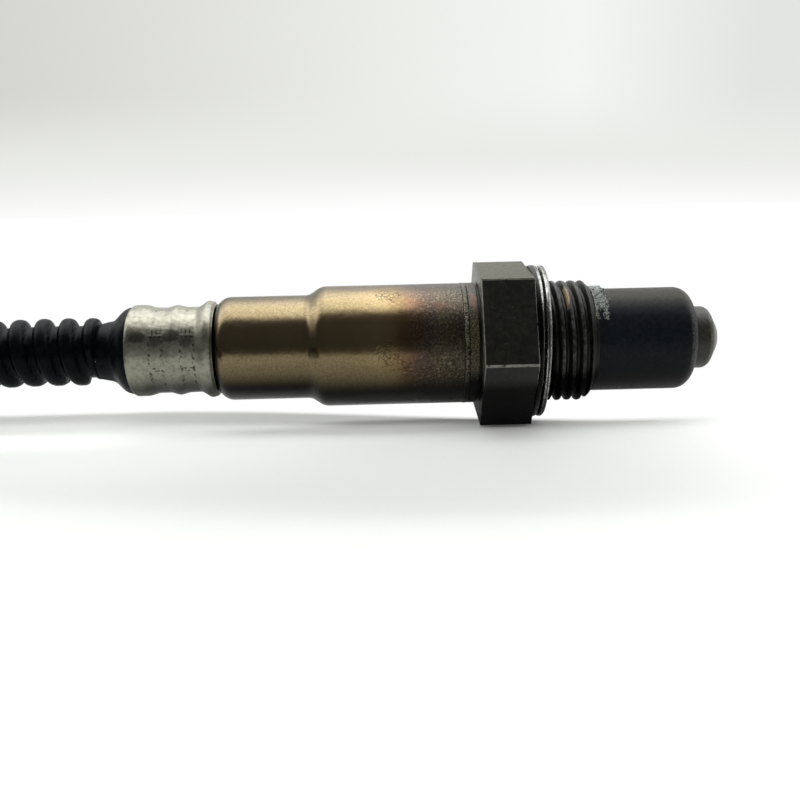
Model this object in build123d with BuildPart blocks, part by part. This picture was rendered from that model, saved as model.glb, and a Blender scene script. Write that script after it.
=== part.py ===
from build123d import *
from math import cos, radians, sin, sqrt, tan
import os

# Heated oxygen sensor with its cable hose and plug, in millimetres.
#
# The sensor's axis is X, with the probe's tip at +X and the cable at -X.
# The origin is on that axis, in the plane where the gasket seats on the exhaust boss.
# The sensor lies on a bench on its gasket's rim and on the coiled hose behind it.
# Nearly every piece is turned or drawn round: its half section is (x, radius), turned about X.

# ---------------------------------------------------------------- housing
hex_flats = 22.0
hex_length = 7.6
hex_chamfer = 0.15
shoulder_radius = 8.98
shoulder_length = 1.7  # from the hexagon to the sleeve's weld
undercut_width = 0.35  # tool relief between the shoulder and the hexagon
undercut_depth = 0.3
spigot_length = 2.6  # part of the housing that the sleeve slides over
thread_radius = 9.0
thread_pitch = 1.5
relief_length = 1.3  # undercut between the gasket seat and the thread
thread_length = 4.55
runout_length = 1.05
runout_drop = 0.73
nose_radius = 7.7
nose_length = 0.6
bore_radius = 6.0  # holds the ceramic bushes and the packing
passage_radius = 4.2  # the gas passage in front of the bushes
seat_depth = 4.0  # from the hexagon's front to the conical seat of the front bush
rim_length = 2.0  # rear rim, rolled in over the press ring
rim_wall = 1.1
rim_lip = 1.1

# ---------------------------------------------------------------- gasket
gasket_thickness = 1.9
gasket_radius = 11.4
gasket_bore = 8.65
gasket_gap = 0.3  # groove between the two folds
fold_radius = 0.35

# ---------------------------------------------------------------- protection tubes
tube_wall = 0.4
tube_radius = 7.63
tube_length = 14.8
tube_corner = 2.3
tube_overlap = 2.8  # length of the housing nose inside the outer tube
inner_tube_radius = 4.65
inner_flange_radius = 6.05
nub_length = 4.15  # inner tube outside the outer one
nub_cone_length = 1.65
nub_tip_radius = 1.85
nub_corner = 1.0
mouth_gap = 0.2  # round the inner tube, where the gas enters the outer one
outlet_radius = 0.9
inlet_radius = 0.6
inlet_count = 8
inlet_distance = 1.5  # from the housing's nose to the ring of inlets in the inner tube

# ---------------------------------------------------------------- element and packing
element_length = 60.0
element_width = 4.2
element_thickness = 1.3
element_recess = 5.0  # from the inner tube's end to the element's tip
element_chamfer = 0.5
front_bush_length = 5.1
talc_length = 5.0
press_ring_thickness = 1.0
press_ring_bore = 3.6
slip = 0.05  # clearance of a loose fit

# ---------------------------------------------------------------- upper sleeve
sleeve_wall = 0.5
sleeve_big_radius = 8.95
sleeve_big_length = 20.44
step_length = 1.89
sleeve_small_radius = 7.7
sleeve_small_length = 13.87
step_round = 2.0
sleeve_corner = 2.3
neck_radius = 5.45
neck_length = 10.3
neck_fillet = 0.15
weld_width = 0.8
weld_height = 0.06  # crown of the bead above the sleeve

# ---------------------------------------------------------------- crimp collar
collar_wall = 0.45
collar_length = 12.4
collar_lap = 0.05  # of the flared lip over the sleeve's round shoulder
collar_end_radius = 6.8
groove_floor_radius = 6.35
groove_length = 1.85
groove_slope = 1.3
groove_pitch = 4.45
bulge_rise = 0.48
flare_slope_length = 1.8
flare_length = 0.95
flare_rise = 1.05
flare_lip_drop = 0.7
crimp_round = 0.9
jaw_count = 8
jaw_ridge_width = 0.25
jaw_ridge_height = 0.1
jaw_phase = 10.5  # degrees, from the horizontal to the first ridge below it at -Y

# ---------------------------------------------------------------- hose cuff
cuff_small_radius = 4.45
cuff_small_length = 1.8
cuff_flare_length = 3.4
cuff_knee_radius = 6.26
cuff_knee_length = 1.13  # from the collar to the knee of the flare
cuff_mouth_radius = 6.6
cuff_lip_length = 0.3
cuff_bore = 3.5
cuff_round = 1.1
cuff_edge = 0.2

# ---------------------------------------------------------------- contacts and wires
wire_count = 5
wire_radius = 0.8
wire_circle_radius = 2.5
wire_phase = 90  # degrees, the first wire is on top
holder_radius = 6.1
holder_length = 20.0
holder_rear_wall = 1.0
holder_pocket_radius = 3.8
holder_pocket_length = 6.5
grommet_flange_radius = 5.3
grommet_flange_length = 1.2
ring_wall = 0.4
ring_width = 5.0
ring_gap = 50  # degrees
ring_tab_count = 3
ring_tab_width = 2.4
ring_tab_length = 2.0
ring_tab_inset = 1.5
contact_width = 0.9
contact_thickness = 0.3
contact_leaf_length = 12.0
contact_link_length = 2.5
barrel_radius = 1.0
top_contact_spacing = 1.45
bottom_contact_spacing = 2.1

# ---------------------------------------------------------------- cable hose
hose_radius = 5.05
hose_straight = 24.3  # from the cuff to where it turns down to the bench
hose_descent = 23.0  # along X, until it lies on the bench
hose_flat = 17.0  # on the bench, before the coil
coil_radius = 52.0
coil_margin = 0.6  # straight lead of the coil beyond the place where its ring leaves it
bend_radius = 44.0  # inward bend of the hose's end, over the coil
bend_tail = 4.0
tie_width = 4.4
tie_thickness = 1.0
tie_angle = 45.0
tie_head = 5.0
tie_head_height = 7.0

# ---------------------------------------------------------------- plug
plug_width = 24.0
plug_height = 17.0
plug_corner = 2.5
port_radius = 6.6
port_length = 8.0
cap_length = 8.0
cap_chamfer = 1.0
plug_body_length = 16.0
plug_nose_length = 13.0
plug_nose_width = 19.0
plug_nose_height = 11.6
plug_wall = 2.5
seal_thickness = 1.1
seal_length = 3.4
lock_length = 2.2
terminal_columns = 3
terminal_rows = 2
terminal_pitch = 5.0
terminal_size = 2.2
terminal_wall = 0.35
latch_width = 8.0
latch_thickness = 1.6
latch_gap = 1.4
latch_length = 19.0
latch_root_length = 2.5
latch_hook_height = 1.2
latch_hook_length = 2.0
key_height = 0.9
key_width = 2.4
key_length = 6.0
grip_count = 3
grip_pitch = 2.0
grip_width = 1.0
grip_height = 0.6
seal_margin = 0.5

# ---------------------------------------------------------------- stations along the axis
bench = -gasket_radius
hex_front = -gasket_thickness
hex_back = hex_front - hex_length
weld_front = hex_back - shoulder_length
weld_back = weld_front - weld_width
rim_front = weld_back - spigot_length
housing_back = rim_front - rim_length

thread_depth = 0.6134 * thread_pitch
thread_start = relief_length
thread_end = thread_start + thread_length
nose_start = thread_end + runout_length
tube_back = nose_start + nose_length
tube_front = tube_back + tube_length
nub_front = tube_front + nub_length
nose_front = tube_back + tube_overlap
inlet_station = nose_front + inlet_distance

tube_inner_radius = tube_radius - tube_wall
flange_seat = tube_back - tube_wall
seat_start = hex_front + seat_depth  # where the conical seat leaves the bore
seat_end = seat_start + bore_radius - passage_radius

packing_back = housing_back + rim_lip
press_front = packing_back + press_ring_thickness
talc_front = seat_start - front_bush_length
talc_back = talc_front - talc_length

step_front = weld_back - sleeve_big_length
step_back = step_front - step_length
shoulder_back = step_back - sleeve_small_length
neck_back = shoulder_back - neck_length
collar_front = shoulder_back + collar_lap
collar_back = collar_front - collar_length
hose_start = collar_back - cuff_flare_length - cuff_small_length

element_front = nub_front - element_recess
element_back = element_front - element_length
grommet_front = shoulder_back + sleeve_wall + grommet_flange_length
holder_back = grommet_front
holder_front = holder_back + holder_length
pocket_back = holder_back + holder_rear_wall
pocket_front = pocket_back + holder_pocket_length
barrel_back = pocket_back
leaf_front = pocket_front + contact_leaf_length
leaf_back = leaf_front - contact_leaf_length
barrel_front = leaf_back - contact_link_length

wire_angles = [wire_phase + index * 360 / wire_count for index in range(wire_count)]

os.makedirs("parts", exist_ok=True)


def save(piece, name):
    """Labels a finished piece and writes it as one node."""
    piece.part.label = name
    export_step(piece.part, f"parts/{name}.step")


def ring_section(start, end, inner, outer):
    """Half section of a plain ring, drawn inside a sketch."""
    return Polygon((start, inner), (end, inner), (end, outer), (start, outer), align=None)


def station(x):
    """The plane across the sensor's axis at x, looking along +X, with its own y up."""
    return Plane(origin=(x, 0, 0), x_dir=(0, 1, 0), z_dir=(1, 0, 0))


# ================================================================ housing
# One turned and milled piece: hexagon, weld shoulder, gasket neck, thread and nose.
neck_of_gasket = thread_radius - thread_depth
with BuildPart() as housing:
    with BuildSketch(station(hex_back)):
        RegularPolygon(hex_flats / 2, 6, major_radius=False)
    extrude(amount=hex_length)
    chamfer(edges().filter_by(Axis.X, reverse=True), length=hex_chamfer)
    with BuildSketch():
        Polygon(
            (housing_back, 0),
            (housing_back, bore_radius + rim_wall - rim_lip),
            (housing_back + rim_lip, bore_radius + rim_wall),
            (rim_front, bore_radius + rim_wall),
            (rim_front, sleeve_big_radius - sleeve_wall),
            (weld_front, sleeve_big_radius - sleeve_wall),
            (weld_front, shoulder_radius),
            (hex_back - undercut_width, shoulder_radius),
            (hex_back - undercut_width, shoulder_radius - undercut_depth),
            (hex_front, shoulder_radius - undercut_depth),
            (hex_front, neck_of_gasket),
            (thread_start - thread_depth / 2, neck_of_gasket),
            (thread_start, thread_radius),
            (thread_end, thread_radius),
            (nose_start, thread_radius - runout_drop),
            (nose_start, nose_radius),
            (tube_back, nose_radius),
            (tube_back, tube_inner_radius),
            (nose_front, tube_inner_radius),
            (nose_front, 0),
            align=None,
        )
    revolve(axis=Axis.X)
    with BuildSketch():
        Polygon(
            (housing_back, 0),
            (housing_back, bore_radius - rim_lip),
            (packing_back, bore_radius - rim_lip),
            (packing_back, bore_radius),
            (seat_start, bore_radius),
            (seat_end, passage_radius),
            (flange_seat, passage_radius),
            (flange_seat, inner_flange_radius + slip),
            (nose_front, inner_flange_radius + slip),
            (nose_front, 0),
            align=None,
        )
    revolve(axis=Axis.X, mode=Mode.SUBTRACT)
save(housing, "housing")

# ================================================================ gasket
# A folded sheet ring, held on its neck: two round-edged folds with a groove between them.
fold_thickness = (gasket_thickness - gasket_gap) / 2
land_radius = gasket_bore + fold_thickness
with BuildPart() as seal_gasket:
    with BuildSketch():
        with BuildLine():
            FilletPolyline(
                (hex_front, land_radius),
                (hex_front, gasket_radius),
                (hex_front + fold_thickness, gasket_radius),
                (hex_front + fold_thickness, land_radius),
                (-fold_thickness, land_radius),
                (-fold_thickness, gasket_radius),
                (0, gasket_radius),
                (0, gasket_bore),
                (hex_front, gasket_bore),
                close=True,
                radius=[0] + 2 * [fold_radius] + 2 * [0] + 4 * [fold_radius],
            )
        make_face()
    revolve(axis=Axis.X)
save(seal_gasket, "seal_gasket")

# ================================================================ protection tubes
# Both are drawn from sheet. Gas enters at the outer one's mouth, round the inner one's nub,
# flows back to the inlets near the inner one's flange, and leaves by the outlet in the nub.
half_wall = tube_wall / 2
with BuildPart() as outer_protection_tube:
    with BuildSketch():
        with BuildLine():
            FilletPolyline(
                (tube_back, tube_radius - half_wall),
                (tube_front - half_wall, tube_radius - half_wall),
                (tube_front - half_wall, inner_tube_radius + mouth_gap),
                radius=[tube_corner - half_wall],
            )
        trace(line_width=tube_wall)
    revolve(axis=Axis.X)
save(outer_protection_tube, "outer_protection_tube")

with BuildPart() as inner_protection_tube:
    with BuildSketch():
        with BuildLine():
            FilletPolyline(
                (flange_seat + half_wall, inner_flange_radius),
                (flange_seat + half_wall, inner_tube_radius - half_wall),
                (nub_front - nub_cone_length, inner_tube_radius - half_wall),
                (nub_front - half_wall, nub_tip_radius),
                (nub_front - half_wall, outlet_radius),
                radius=[tube_wall, nub_corner, nub_corner],
            )
        trace(line_width=tube_wall)
    revolve(axis=Axis.X)
    for index in range(inlet_count):
        outward = Vector(0, 1, 0).rotate(Axis.X, index * 360 / inlet_count)
        with BuildSketch(Plane(origin=(inlet_station, 0, 0), x_dir=(1, 0, 0), z_dir=outward)):
            Circle(inlet_radius)
        extrude(amount=tube_radius - tube_wall, mode=Mode.SUBTRACT)
save(inner_protection_tube, "inner_protection_tube")

# ================================================================ element, bushes and packing
with BuildPart() as sensor_element:
    with BuildSketch(station(element_back)):
        Rectangle(element_width, element_thickness)
    extrude(amount=element_length)
    chamfer(edges().group_by(Axis.X)[-1].filter_by(Axis.Z), length=element_chamfer)
save(sensor_element, "sensor_element")


def packed_ring(name, outline):
    """A ceramic or powder ring of this half section, with the slot that the element passes through."""
    with BuildPart() as ring:
        with BuildSketch():
            Polygon(*outline, align=None)
        revolve(axis=Axis.X)
        with BuildSketch(station(housing_back)):
            Rectangle(element_width, element_thickness)
        extrude(amount=nose_front - housing_back, mode=Mode.SUBTRACT)
    save(ring, name)


bush_radius = bore_radius - slip
packed_ring(
    "front_bush",
    [
        (talc_front, 0),
        (talc_front, bush_radius),
        (seat_start - slip, bush_radius),
        (seat_end - slip, passage_radius),
        (seat_end - slip, 0),
    ],
)
packed_ring(
    "talc_packing",
    [(talc_back, 0), (talc_back, bore_radius), (talc_front, bore_radius), (talc_front, 0)],
)
packed_ring(
    "rear_bush",
    [(press_front, 0), (press_front, bush_radius), (talc_back, bush_radius), (talc_back, 0)],
)

with BuildPart() as press_ring:
    with BuildSketch():
        ring_section(packing_back, press_front, press_ring_bore, bush_radius)
    revolve(axis=Axis.X)
save(press_ring, "press_ring")

# ================================================================ upper sleeve
# Deep drawn: large end over the housing spigot, stepped down, then necked for the cable seal.
half_wall = sleeve_wall / 2
shoulder_height = sleeve_small_radius - neck_radius
shoulder_round = min(sleeve_corner - half_wall, shoulder_height - neck_fillet - slip)
with BuildPart() as upper_sleeve:
    with BuildSketch():
        with BuildLine():
            FilletPolyline(
                (weld_back, sleeve_big_radius - half_wall),
                (step_front, sleeve_big_radius - half_wall),
                (step_back, sleeve_small_radius - half_wall),
                (shoulder_back + half_wall, sleeve_small_radius - half_wall),
                (shoulder_back + half_wall, neck_radius - half_wall),
                (neck_back, neck_radius - half_wall),
                radius=[step_round, step_round, shoulder_round, neck_fillet],
            )
        trace(line_width=sleeve_wall)
    revolve(axis=Axis.X)
save(upper_sleeve, "upper_sleeve")

# The weld bead fills the gap between the sleeve's end and the housing's shoulder.
with BuildPart() as sleeve_weld:
    with BuildSketch():
        with BuildLine():
            Polyline(
                (weld_back, sleeve_big_radius),
                (weld_back, sleeve_big_radius - sleeve_wall),
                (weld_front, sleeve_big_radius - sleeve_wall),
                (weld_front, sleeve_big_radius),
            )
            ThreePointArc(
                (weld_front, sleeve_big_radius),
                ((weld_front + weld_back) / 2, sleeve_big_radius + weld_height),
                (weld_back, sleeve_big_radius),
            )
        make_face()
    revolve(axis=Axis.X)
save(sleeve_weld, "sleeve_weld")

# ================================================================ crimp collar
# A drawn ring pressed by eight jaws in two grooves. Metal that flows between the jaws
# leaves a small ridge across each groove.
half_wall = collar_wall / 2
groove_start = collar_front - flare_length - flare_slope_length
groove_fronts = [groove_start - index * groove_pitch for index in range(2)]
groove_line = groove_floor_radius - half_wall
with BuildPart() as crimp_collar:
    with BuildSketch():
        with BuildLine():
            FilletPolyline(
                (collar_back, collar_end_radius - half_wall),
                (groove_fronts[1] - groove_length - groove_slope, collar_end_radius - half_wall),
                (groove_fronts[1] - groove_length, groove_line),
                (groove_fronts[1], groove_line),
                ((groove_fronts[1] + groove_fronts[0] - groove_length) / 2, groove_line + bulge_rise),
                (groove_fronts[0] - groove_length, groove_line),
                (groove_fronts[0], groove_line),
                (collar_front - flare_length, groove_line + flare_rise),
                (collar_front, groove_line + flare_rise - flare_lip_drop),
                radius=crimp_round,
            )
        trace(line_width=collar_wall)
    revolve(axis=Axis.X)
    for front in groove_fronts:
        with BuildSketch(station(front - groove_length)):
            with PolarLocations(groove_floor_radius, jaw_count, start_angle=jaw_phase):
                Rectangle(2 * jaw_ridge_height, jaw_ridge_width)
        extrude(amount=groove_length)
save(crimp_collar, "crimp_collar")

# ================================================================ cable seal, cuff and wires
with BuildPart() as grommet:
    with BuildSketch():
        Polygon(
            (neck_back, 0),
            (neck_back, neck_radius - sleeve_wall),
            (shoulder_back + sleeve_wall, neck_radius - sleeve_wall),
            (shoulder_back + sleeve_wall, grommet_flange_radius),
            (grommet_front, grommet_flange_radius),
            (grommet_front, 0),
            align=None,
        )
    revolve(axis=Axis.X)
    with BuildSketch(station(neck_back)):
        with PolarLocations(wire_circle_radius, wire_count, start_angle=wire_phase):
            Circle(wire_radius)
    extrude(amount=grommet_front - neck_back, mode=Mode.SUBTRACT)
save(grommet, "grommet")

# The cuff is the hose's moulded end. The collar clamps it on the sleeve's neck.
clamped_radius = groove_floor_radius - collar_wall
with BuildPart() as hose_cuff:
    with BuildSketch():
        with BuildLine():
            FilletPolyline(
                (hose_start, cuff_bore),
                (hose_start, cuff_small_radius),
                (hose_start + cuff_small_length, cuff_small_radius),
                (collar_back - cuff_knee_length, cuff_knee_radius),
                (collar_back - cuff_lip_length, cuff_mouth_radius),
                (collar_back, clamped_radius),
                (collar_front - flare_length, clamped_radius),
                (collar_front - flare_length, neck_radius),
                (neck_back, neck_radius),
                (neck_back, cuff_bore),
                close=True,
                radius=[0, cuff_edge, cuff_round, cuff_round, cuff_edge, 0, 0, 0, 0, 0],
            )
        make_face()
    revolve(axis=Axis.X)
save(hose_cuff, "hose_cuff")

for index, angle in enumerate(wire_angles):
    with BuildPart() as wire:
        with BuildSketch(station(hose_start)):
            with PolarLocations(wire_circle_radius, 1, start_angle=angle):
                Circle(wire_radius)
        extrude(amount=barrel_back - hose_start)
    save(wire, f"wire_{index + 1}")

# ================================================================ contacts
# Two ceramic halves hold five spring contacts against the element's pads.
channel_width = 2 * top_contact_spacing + contact_width + 4 * slip
channel_height = element_thickness + 2 * contact_thickness + 4 * slip
for name, kept in (("contact_holder_upper", Keep.TOP), ("contact_holder_lower", Keep.BOTTOM)):
    with BuildPart() as holder:
        with BuildSketch(station(holder_back)):
            Circle(holder_radius)
        extrude(amount=holder_length)
        with BuildSketch(station(pocket_back)):
            Circle(holder_pocket_radius)
        extrude(amount=holder_pocket_length, mode=Mode.SUBTRACT)
        with BuildSketch(station(pocket_back)):
            Rectangle(max(channel_width, element_width + 2 * slip), channel_height)
        extrude(amount=holder_front - pocket_back, mode=Mode.SUBTRACT)
        with BuildSketch(station(holder_back)):
            with PolarLocations(wire_circle_radius, wire_count, start_angle=wire_phase):
                Circle(wire_radius + slip)
        extrude(amount=holder_rear_wall, mode=Mode.SUBTRACT)
        split(bisect_by=Plane.XY, keep=kept)
    save(holder, name)

# A split spring ring closes the two halves, and its tabs centre them in the sleeve.
ring_front = step_back - ring_width / 2
tab_height = sleeve_small_radius - sleeve_wall - holder_radius
with BuildPart() as contact_spring_ring:
    with BuildSketch(station(ring_front - ring_width)):
        Circle(holder_radius + ring_wall)
        Circle(holder_radius, mode=Mode.SUBTRACT)
        Polygon(
            (0, 0),
            (-2 * holder_radius * tan(radians(ring_gap / 2)), -2 * holder_radius),
            (2 * holder_radius * tan(radians(ring_gap / 2)), -2 * holder_radius),
            align=None,
            mode=Mode.SUBTRACT,
        )
    extrude(amount=ring_width)
    with BuildSketch(station(ring_front - ring_width + ring_tab_inset)):
        with PolarLocations(holder_radius + tab_height / 2, ring_tab_count, start_angle=90):
            Rectangle(tab_height, ring_tab_width)
        Circle(holder_radius, mode=Mode.SUBTRACT)
        Circle(holder_radius + tab_height, mode=Mode.INTERSECT)
    extrude(amount=ring_tab_length)
save(contact_spring_ring, "contact_spring_ring")

# Each contact is a leaf on the element, a link and a barrel on its wire.
leaf_height = (element_thickness + contact_thickness) / 2
leaf_places = [
    (0, leaf_height),
    (-top_contact_spacing, leaf_height),
    (-bottom_contact_spacing / 2, -leaf_height),
    (bottom_contact_spacing / 2, -leaf_height),
    (top_contact_spacing, leaf_height),
]
for index, (angle, place) in enumerate(zip(wire_angles, leaf_places)):
    wire_place = (wire_circle_radius * cos(radians(angle)), wire_circle_radius * sin(radians(angle)))
    with BuildPart() as contact:
        with BuildSketch(station(leaf_back)):
            with Locations(place):
                Rectangle(contact_width, contact_thickness)
        extrude(amount=contact_leaf_length)
        with BuildSketch(station(leaf_back)):
            with Locations(place):
                Rectangle(contact_width, contact_thickness)
        with BuildSketch(station(barrel_front)):
            with Locations(wire_place):
                Rectangle(contact_width, contact_thickness)
        loft()
        with BuildSketch(station(barrel_back)):
            with Locations(wire_place):
                Circle(barrel_radius)
        extrude(amount=barrel_front - barrel_back)
    save(contact, f"contact_{index + 1}")

# ================================================================ hose
# It runs straight out of the cuff, comes down to the bench and goes into a flat coil.
# Its end bends inward over the coil, where the plug lies on the first turn.
first_level = bench + hose_radius
second_level = first_level + 2 * hose_radius
descent_start = hose_start - hose_straight
descent_end = descent_start - hose_descent
coil_lead = 2 * sqrt(coil_radius * hose_radius) + coil_margin
coil_x = descent_end - hose_flat - coil_lead
coil_y = -coil_radius
tube_points = [
    (hose_start, 0, 0),
    (descent_start, 0, 0),
    (descent_end, 0, first_level),
    (coil_x + coil_lead, 0, first_level),
]


def bend_radii(points):
    """The largest arc that each corner's two runs allow: 0.45 of the shorter run over tan(half the turn)."""
    radii = []
    for before, corner, after in zip(points, points[1:], points[2:]):
        run_in = Vector(corner) - Vector(before)
        run_out = Vector(after) - Vector(corner)
        half_turn = radians(run_in.get_angle(run_out)) / 2
        radii.append(0.45 * min(run_in.length, run_out.length) / tan(half_turn))
    return radii


tube_radii = bend_radii(tube_points)
print("hose arc radii", [round(value, 1) for value in tube_radii])
with BuildPart() as hose_run:
    with BuildLine():
        FilletPolyline(*tube_points, radius=tube_radii)
    with BuildSketch(Plane(origin=tube_points[0], z_dir=(-1, 0, 0))):
        Circle(hose_radius)
    sweep()
save(hose_run, "hose_run")


def on_coil(turn, radius=coil_radius):
    """A point of the coil, turn degrees on from where the hose first meets it."""
    return (coil_x - radius * sin(radians(turn)), coil_y + radius * cos(radians(turn)))


bend_centre_x = coil_x - (coil_radius - bend_radius)
plug_y = coil_y - bend_radius
plug_start = bend_centre_x + bend_tail
core_radius = hose_radius - tie_thickness
beyond = 3 * coil_radius  # larger than the coil, to cut its sketches with
with BuildPart() as hose_coil:
    # First turn, with the straight length that leads into it.
    with BuildSketch(Plane.XY.offset(bench)):
        with Locations((coil_x, coil_y)):
            Circle(coil_radius + hose_radius)
            Circle(coil_radius - hose_radius, mode=Mode.SUBTRACT)
        with Locations((coil_x, 0)):
            Rectangle(coil_lead, 2 * hose_radius, align=(Align.MIN, Align.CENTER))
        with Locations((coil_x, coil_y)):
            with PolarLocations(coil_radius, 1, start_angle=90 + tie_angle):
                Rectangle(3 * hose_radius, tie_width, mode=Mode.SUBTRACT)
    extrude(amount=2 * hose_radius)
    # Half a turn on top of it, and the bend inward to the plug.
    with BuildSketch(Plane.XY.offset(first_level + hose_radius)):
        with Locations((coil_x, coil_y)):
            Circle(coil_radius + hose_radius)
            Circle(coil_radius - hose_radius, mode=Mode.SUBTRACT)
            Rectangle(beyond, beyond, align=(Align.CENTER, Align.MIN), mode=Mode.INTERSECT)
        with BuildSketch(Plane.XY.offset(first_level + hose_radius)):
            with Locations((bend_centre_x, coil_y)):
                Circle(bend_radius + hose_radius)
                Circle(bend_radius - hose_radius, mode=Mode.SUBTRACT)
                Rectangle(beyond, beyond, align=(Align.MAX, Align.MAX), mode=Mode.INTERSECT)
        with Locations((bend_centre_x, plug_y)):
            Rectangle(bend_tail, 2 * hose_radius, align=(Align.MIN, Align.CENTER))
        with Locations((coil_x, coil_y)):
            with PolarLocations(coil_radius, 1, start_angle=90 + tie_angle):
                Rectangle(3 * hose_radius, tie_width, mode=Mode.SUBTRACT)
    extrude(amount=2 * hose_radius)
    # Both turns are pressed in where the tie holds them.
    with BuildSketch(Plane.XY.offset(bench + tie_thickness)):
        with Locations((coil_x, coil_y)):
            with PolarLocations(coil_radius, 1, start_angle=90 + tie_angle):
                Rectangle(2 * core_radius, tie_width)
    extrude(amount=4 * hose_radius - 2 * tie_thickness)
save(hose_coil, "hose_coil")

# The tie's band is level with the hose, and its head is on the outside of the coil.
tie_turn = radians(90 + tie_angle)
tie_x = coil_x + coil_radius * cos(tie_turn)
tie_y = coil_y + coil_radius * sin(tie_turn)
tie_centre = (tie_x, tie_y, bench + 2 * hose_radius)
tie_outward = (cos(tie_turn), sin(tie_turn), 0)
tie_along = (sin(tie_turn), -cos(tie_turn), 0)
with BuildPart() as coil_tie:
    with BuildSketch(Plane(origin=tie_centre, x_dir=tie_outward, z_dir=tie_along)):
        Rectangle(2 * hose_radius, 4 * hose_radius)
        Rectangle(2 * core_radius, 4 * hose_radius - 2 * tie_thickness, mode=Mode.SUBTRACT)
        with Locations((hose_radius + tie_head / 2, 0)):
            Rectangle(tie_head, tie_head_height)
    extrude(amount=tie_width / 2, both=True)
save(coil_tie, "coil_tie")

# ================================================================ plug
# It lies on the coil's first turn, with its mating end at +X.
plug_base = second_level - hose_radius
plug_z = plug_base + plug_height / 2
cap_start = plug_start + port_length
body_start = cap_start + cap_length
nose_root = body_start + plug_body_length
nose_tip = nose_root + plug_nose_length
terminal_bore = terminal_size - 2 * terminal_wall
seal_pocket = terminal_rows * terminal_pitch + 2 * seal_margin
seal_width = terminal_columns * terminal_pitch + 2 * seal_margin
key_start = nose_tip - lock_length - key_length
latch_start = body_start + plug_body_length / 4
latch_front = latch_start + latch_length


def plug_station(x):
    """The plane across the plug at x, centred on the plug."""
    return Plane(origin=(x, plug_y, plug_z), x_dir=(0, 1, 0), z_dir=(1, 0, 0))


with BuildPart() as plug_rear_cap:
    with BuildSketch(plug_station(cap_start)):
        RectangleRounded(plug_width, plug_height, plug_corner)
    extrude(amount=cap_length)
    chamfer(faces().sort_by(Axis.X)[0].edges(), length=cap_chamfer)
    with BuildSketch(plug_station(plug_start)):
        with Locations((0, second_level - plug_z)):
            Circle(port_radius)
        RectangleRounded(plug_width, plug_height, plug_corner, mode=Mode.INTERSECT)
    extrude(amount=port_length + cap_chamfer)
    for index in range(grip_count):
        with BuildSketch(plug_station(cap_start + cap_chamfer + index * grip_pitch)):
            with Locations((0, (plug_height + grip_height) / 2)):
                Rectangle(plug_width - 4 * plug_corner, grip_height)
        extrude(amount=grip_width)
save(plug_rear_cap, "plug_rear_cap")

with BuildPart() as plug_housing:
    with BuildSketch(plug_station(body_start)):
        RectangleRounded(plug_width, plug_height, plug_corner)
    extrude(amount=plug_body_length)
    with BuildSketch(plug_station(nose_root)):
        RectangleRounded(plug_nose_width, plug_nose_height, plug_corner)
    extrude(amount=plug_nose_length - lock_length)
    with BuildSketch(plug_station(body_start)):
        RectangleRounded(seal_width, seal_pocket, plug_corner / 2)
    extrude(amount=seal_length, mode=Mode.SUBTRACT)
    with BuildSketch(plug_station(body_start)):
        with GridLocations(terminal_pitch, terminal_pitch, terminal_columns, terminal_rows):
            Rectangle(terminal_size, terminal_size)
    extrude(amount=plug_body_length + plug_nose_length, mode=Mode.SUBTRACT)
    with BuildSketch(plug_station(latch_start)):
        with Locations((0, plug_height / 2 + latch_gap + latch_thickness / 2)):
            Rectangle(latch_width, latch_thickness)
    extrude(amount=latch_length)
    with BuildSketch(plug_station(latch_start)):
        with Locations((0, plug_height / 2 + latch_gap / 2)):
            Rectangle(latch_width, latch_gap)
    extrude(amount=latch_root_length)
    with BuildSketch(plug_station(latch_front - latch_hook_length)):
        with Locations((0, plug_height / 2 + latch_gap - latch_hook_height / 2)):
            Rectangle(latch_width, latch_hook_height)
    extrude(amount=latch_hook_length)
    with BuildSketch(plug_station(key_start)):
        with GridLocations(plug_nose_width + key_height, 0, 2, 1):
            Rectangle(key_height, key_width)
    extrude(amount=key_length)
save(plug_housing, "plug_housing")

with BuildPart() as plug_lock:
    with BuildSketch(plug_station(nose_tip - lock_length)):
        RectangleRounded(plug_nose_width, plug_nose_height, plug_corner)
        with GridLocations(terminal_pitch, terminal_pitch, terminal_columns, terminal_rows):
            Rectangle(terminal_bore, terminal_bore, mode=Mode.SUBTRACT)
    extrude(amount=lock_length)
save(plug_lock, "plug_lock")

with BuildPart() as plug_seal:
    with BuildSketch(plug_station(nose_root)):
        RectangleRounded(
            plug_nose_width + 2 * seal_thickness,
            plug_nose_height + 2 * seal_thickness,
            plug_corner + seal_thickness,
        )
        RectangleRounded(plug_nose_width, plug_nose_height, plug_corner, mode=Mode.SUBTRACT)
    extrude(amount=seal_length)
save(plug_seal, "plug_seal")

with BuildPart() as plug_wire_seal:
    with BuildSketch(plug_station(body_start)):
        RectangleRounded(seal_width, seal_pocket, plug_corner / 2)
    extrude(amount=seal_length)
save(plug_wire_seal, "plug_wire_seal")

with BuildPart() as plug_terminals:
    with BuildSketch(plug_station(body_start + seal_length)):
        with GridLocations(terminal_pitch, terminal_pitch, terminal_columns, terminal_rows):
            Rectangle(terminal_size, terminal_size)
            Rectangle(terminal_bore, terminal_bore, mode=Mode.SUBTRACT)
    extrude(amount=nose_tip - lock_length - body_start - seal_length)
save(plug_terminals, "plug_terminals")
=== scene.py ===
from math import cos, pi, radians, sin, sqrt

import bmesh
import bpy
from mathutils import Matrix, Vector, noise


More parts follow.
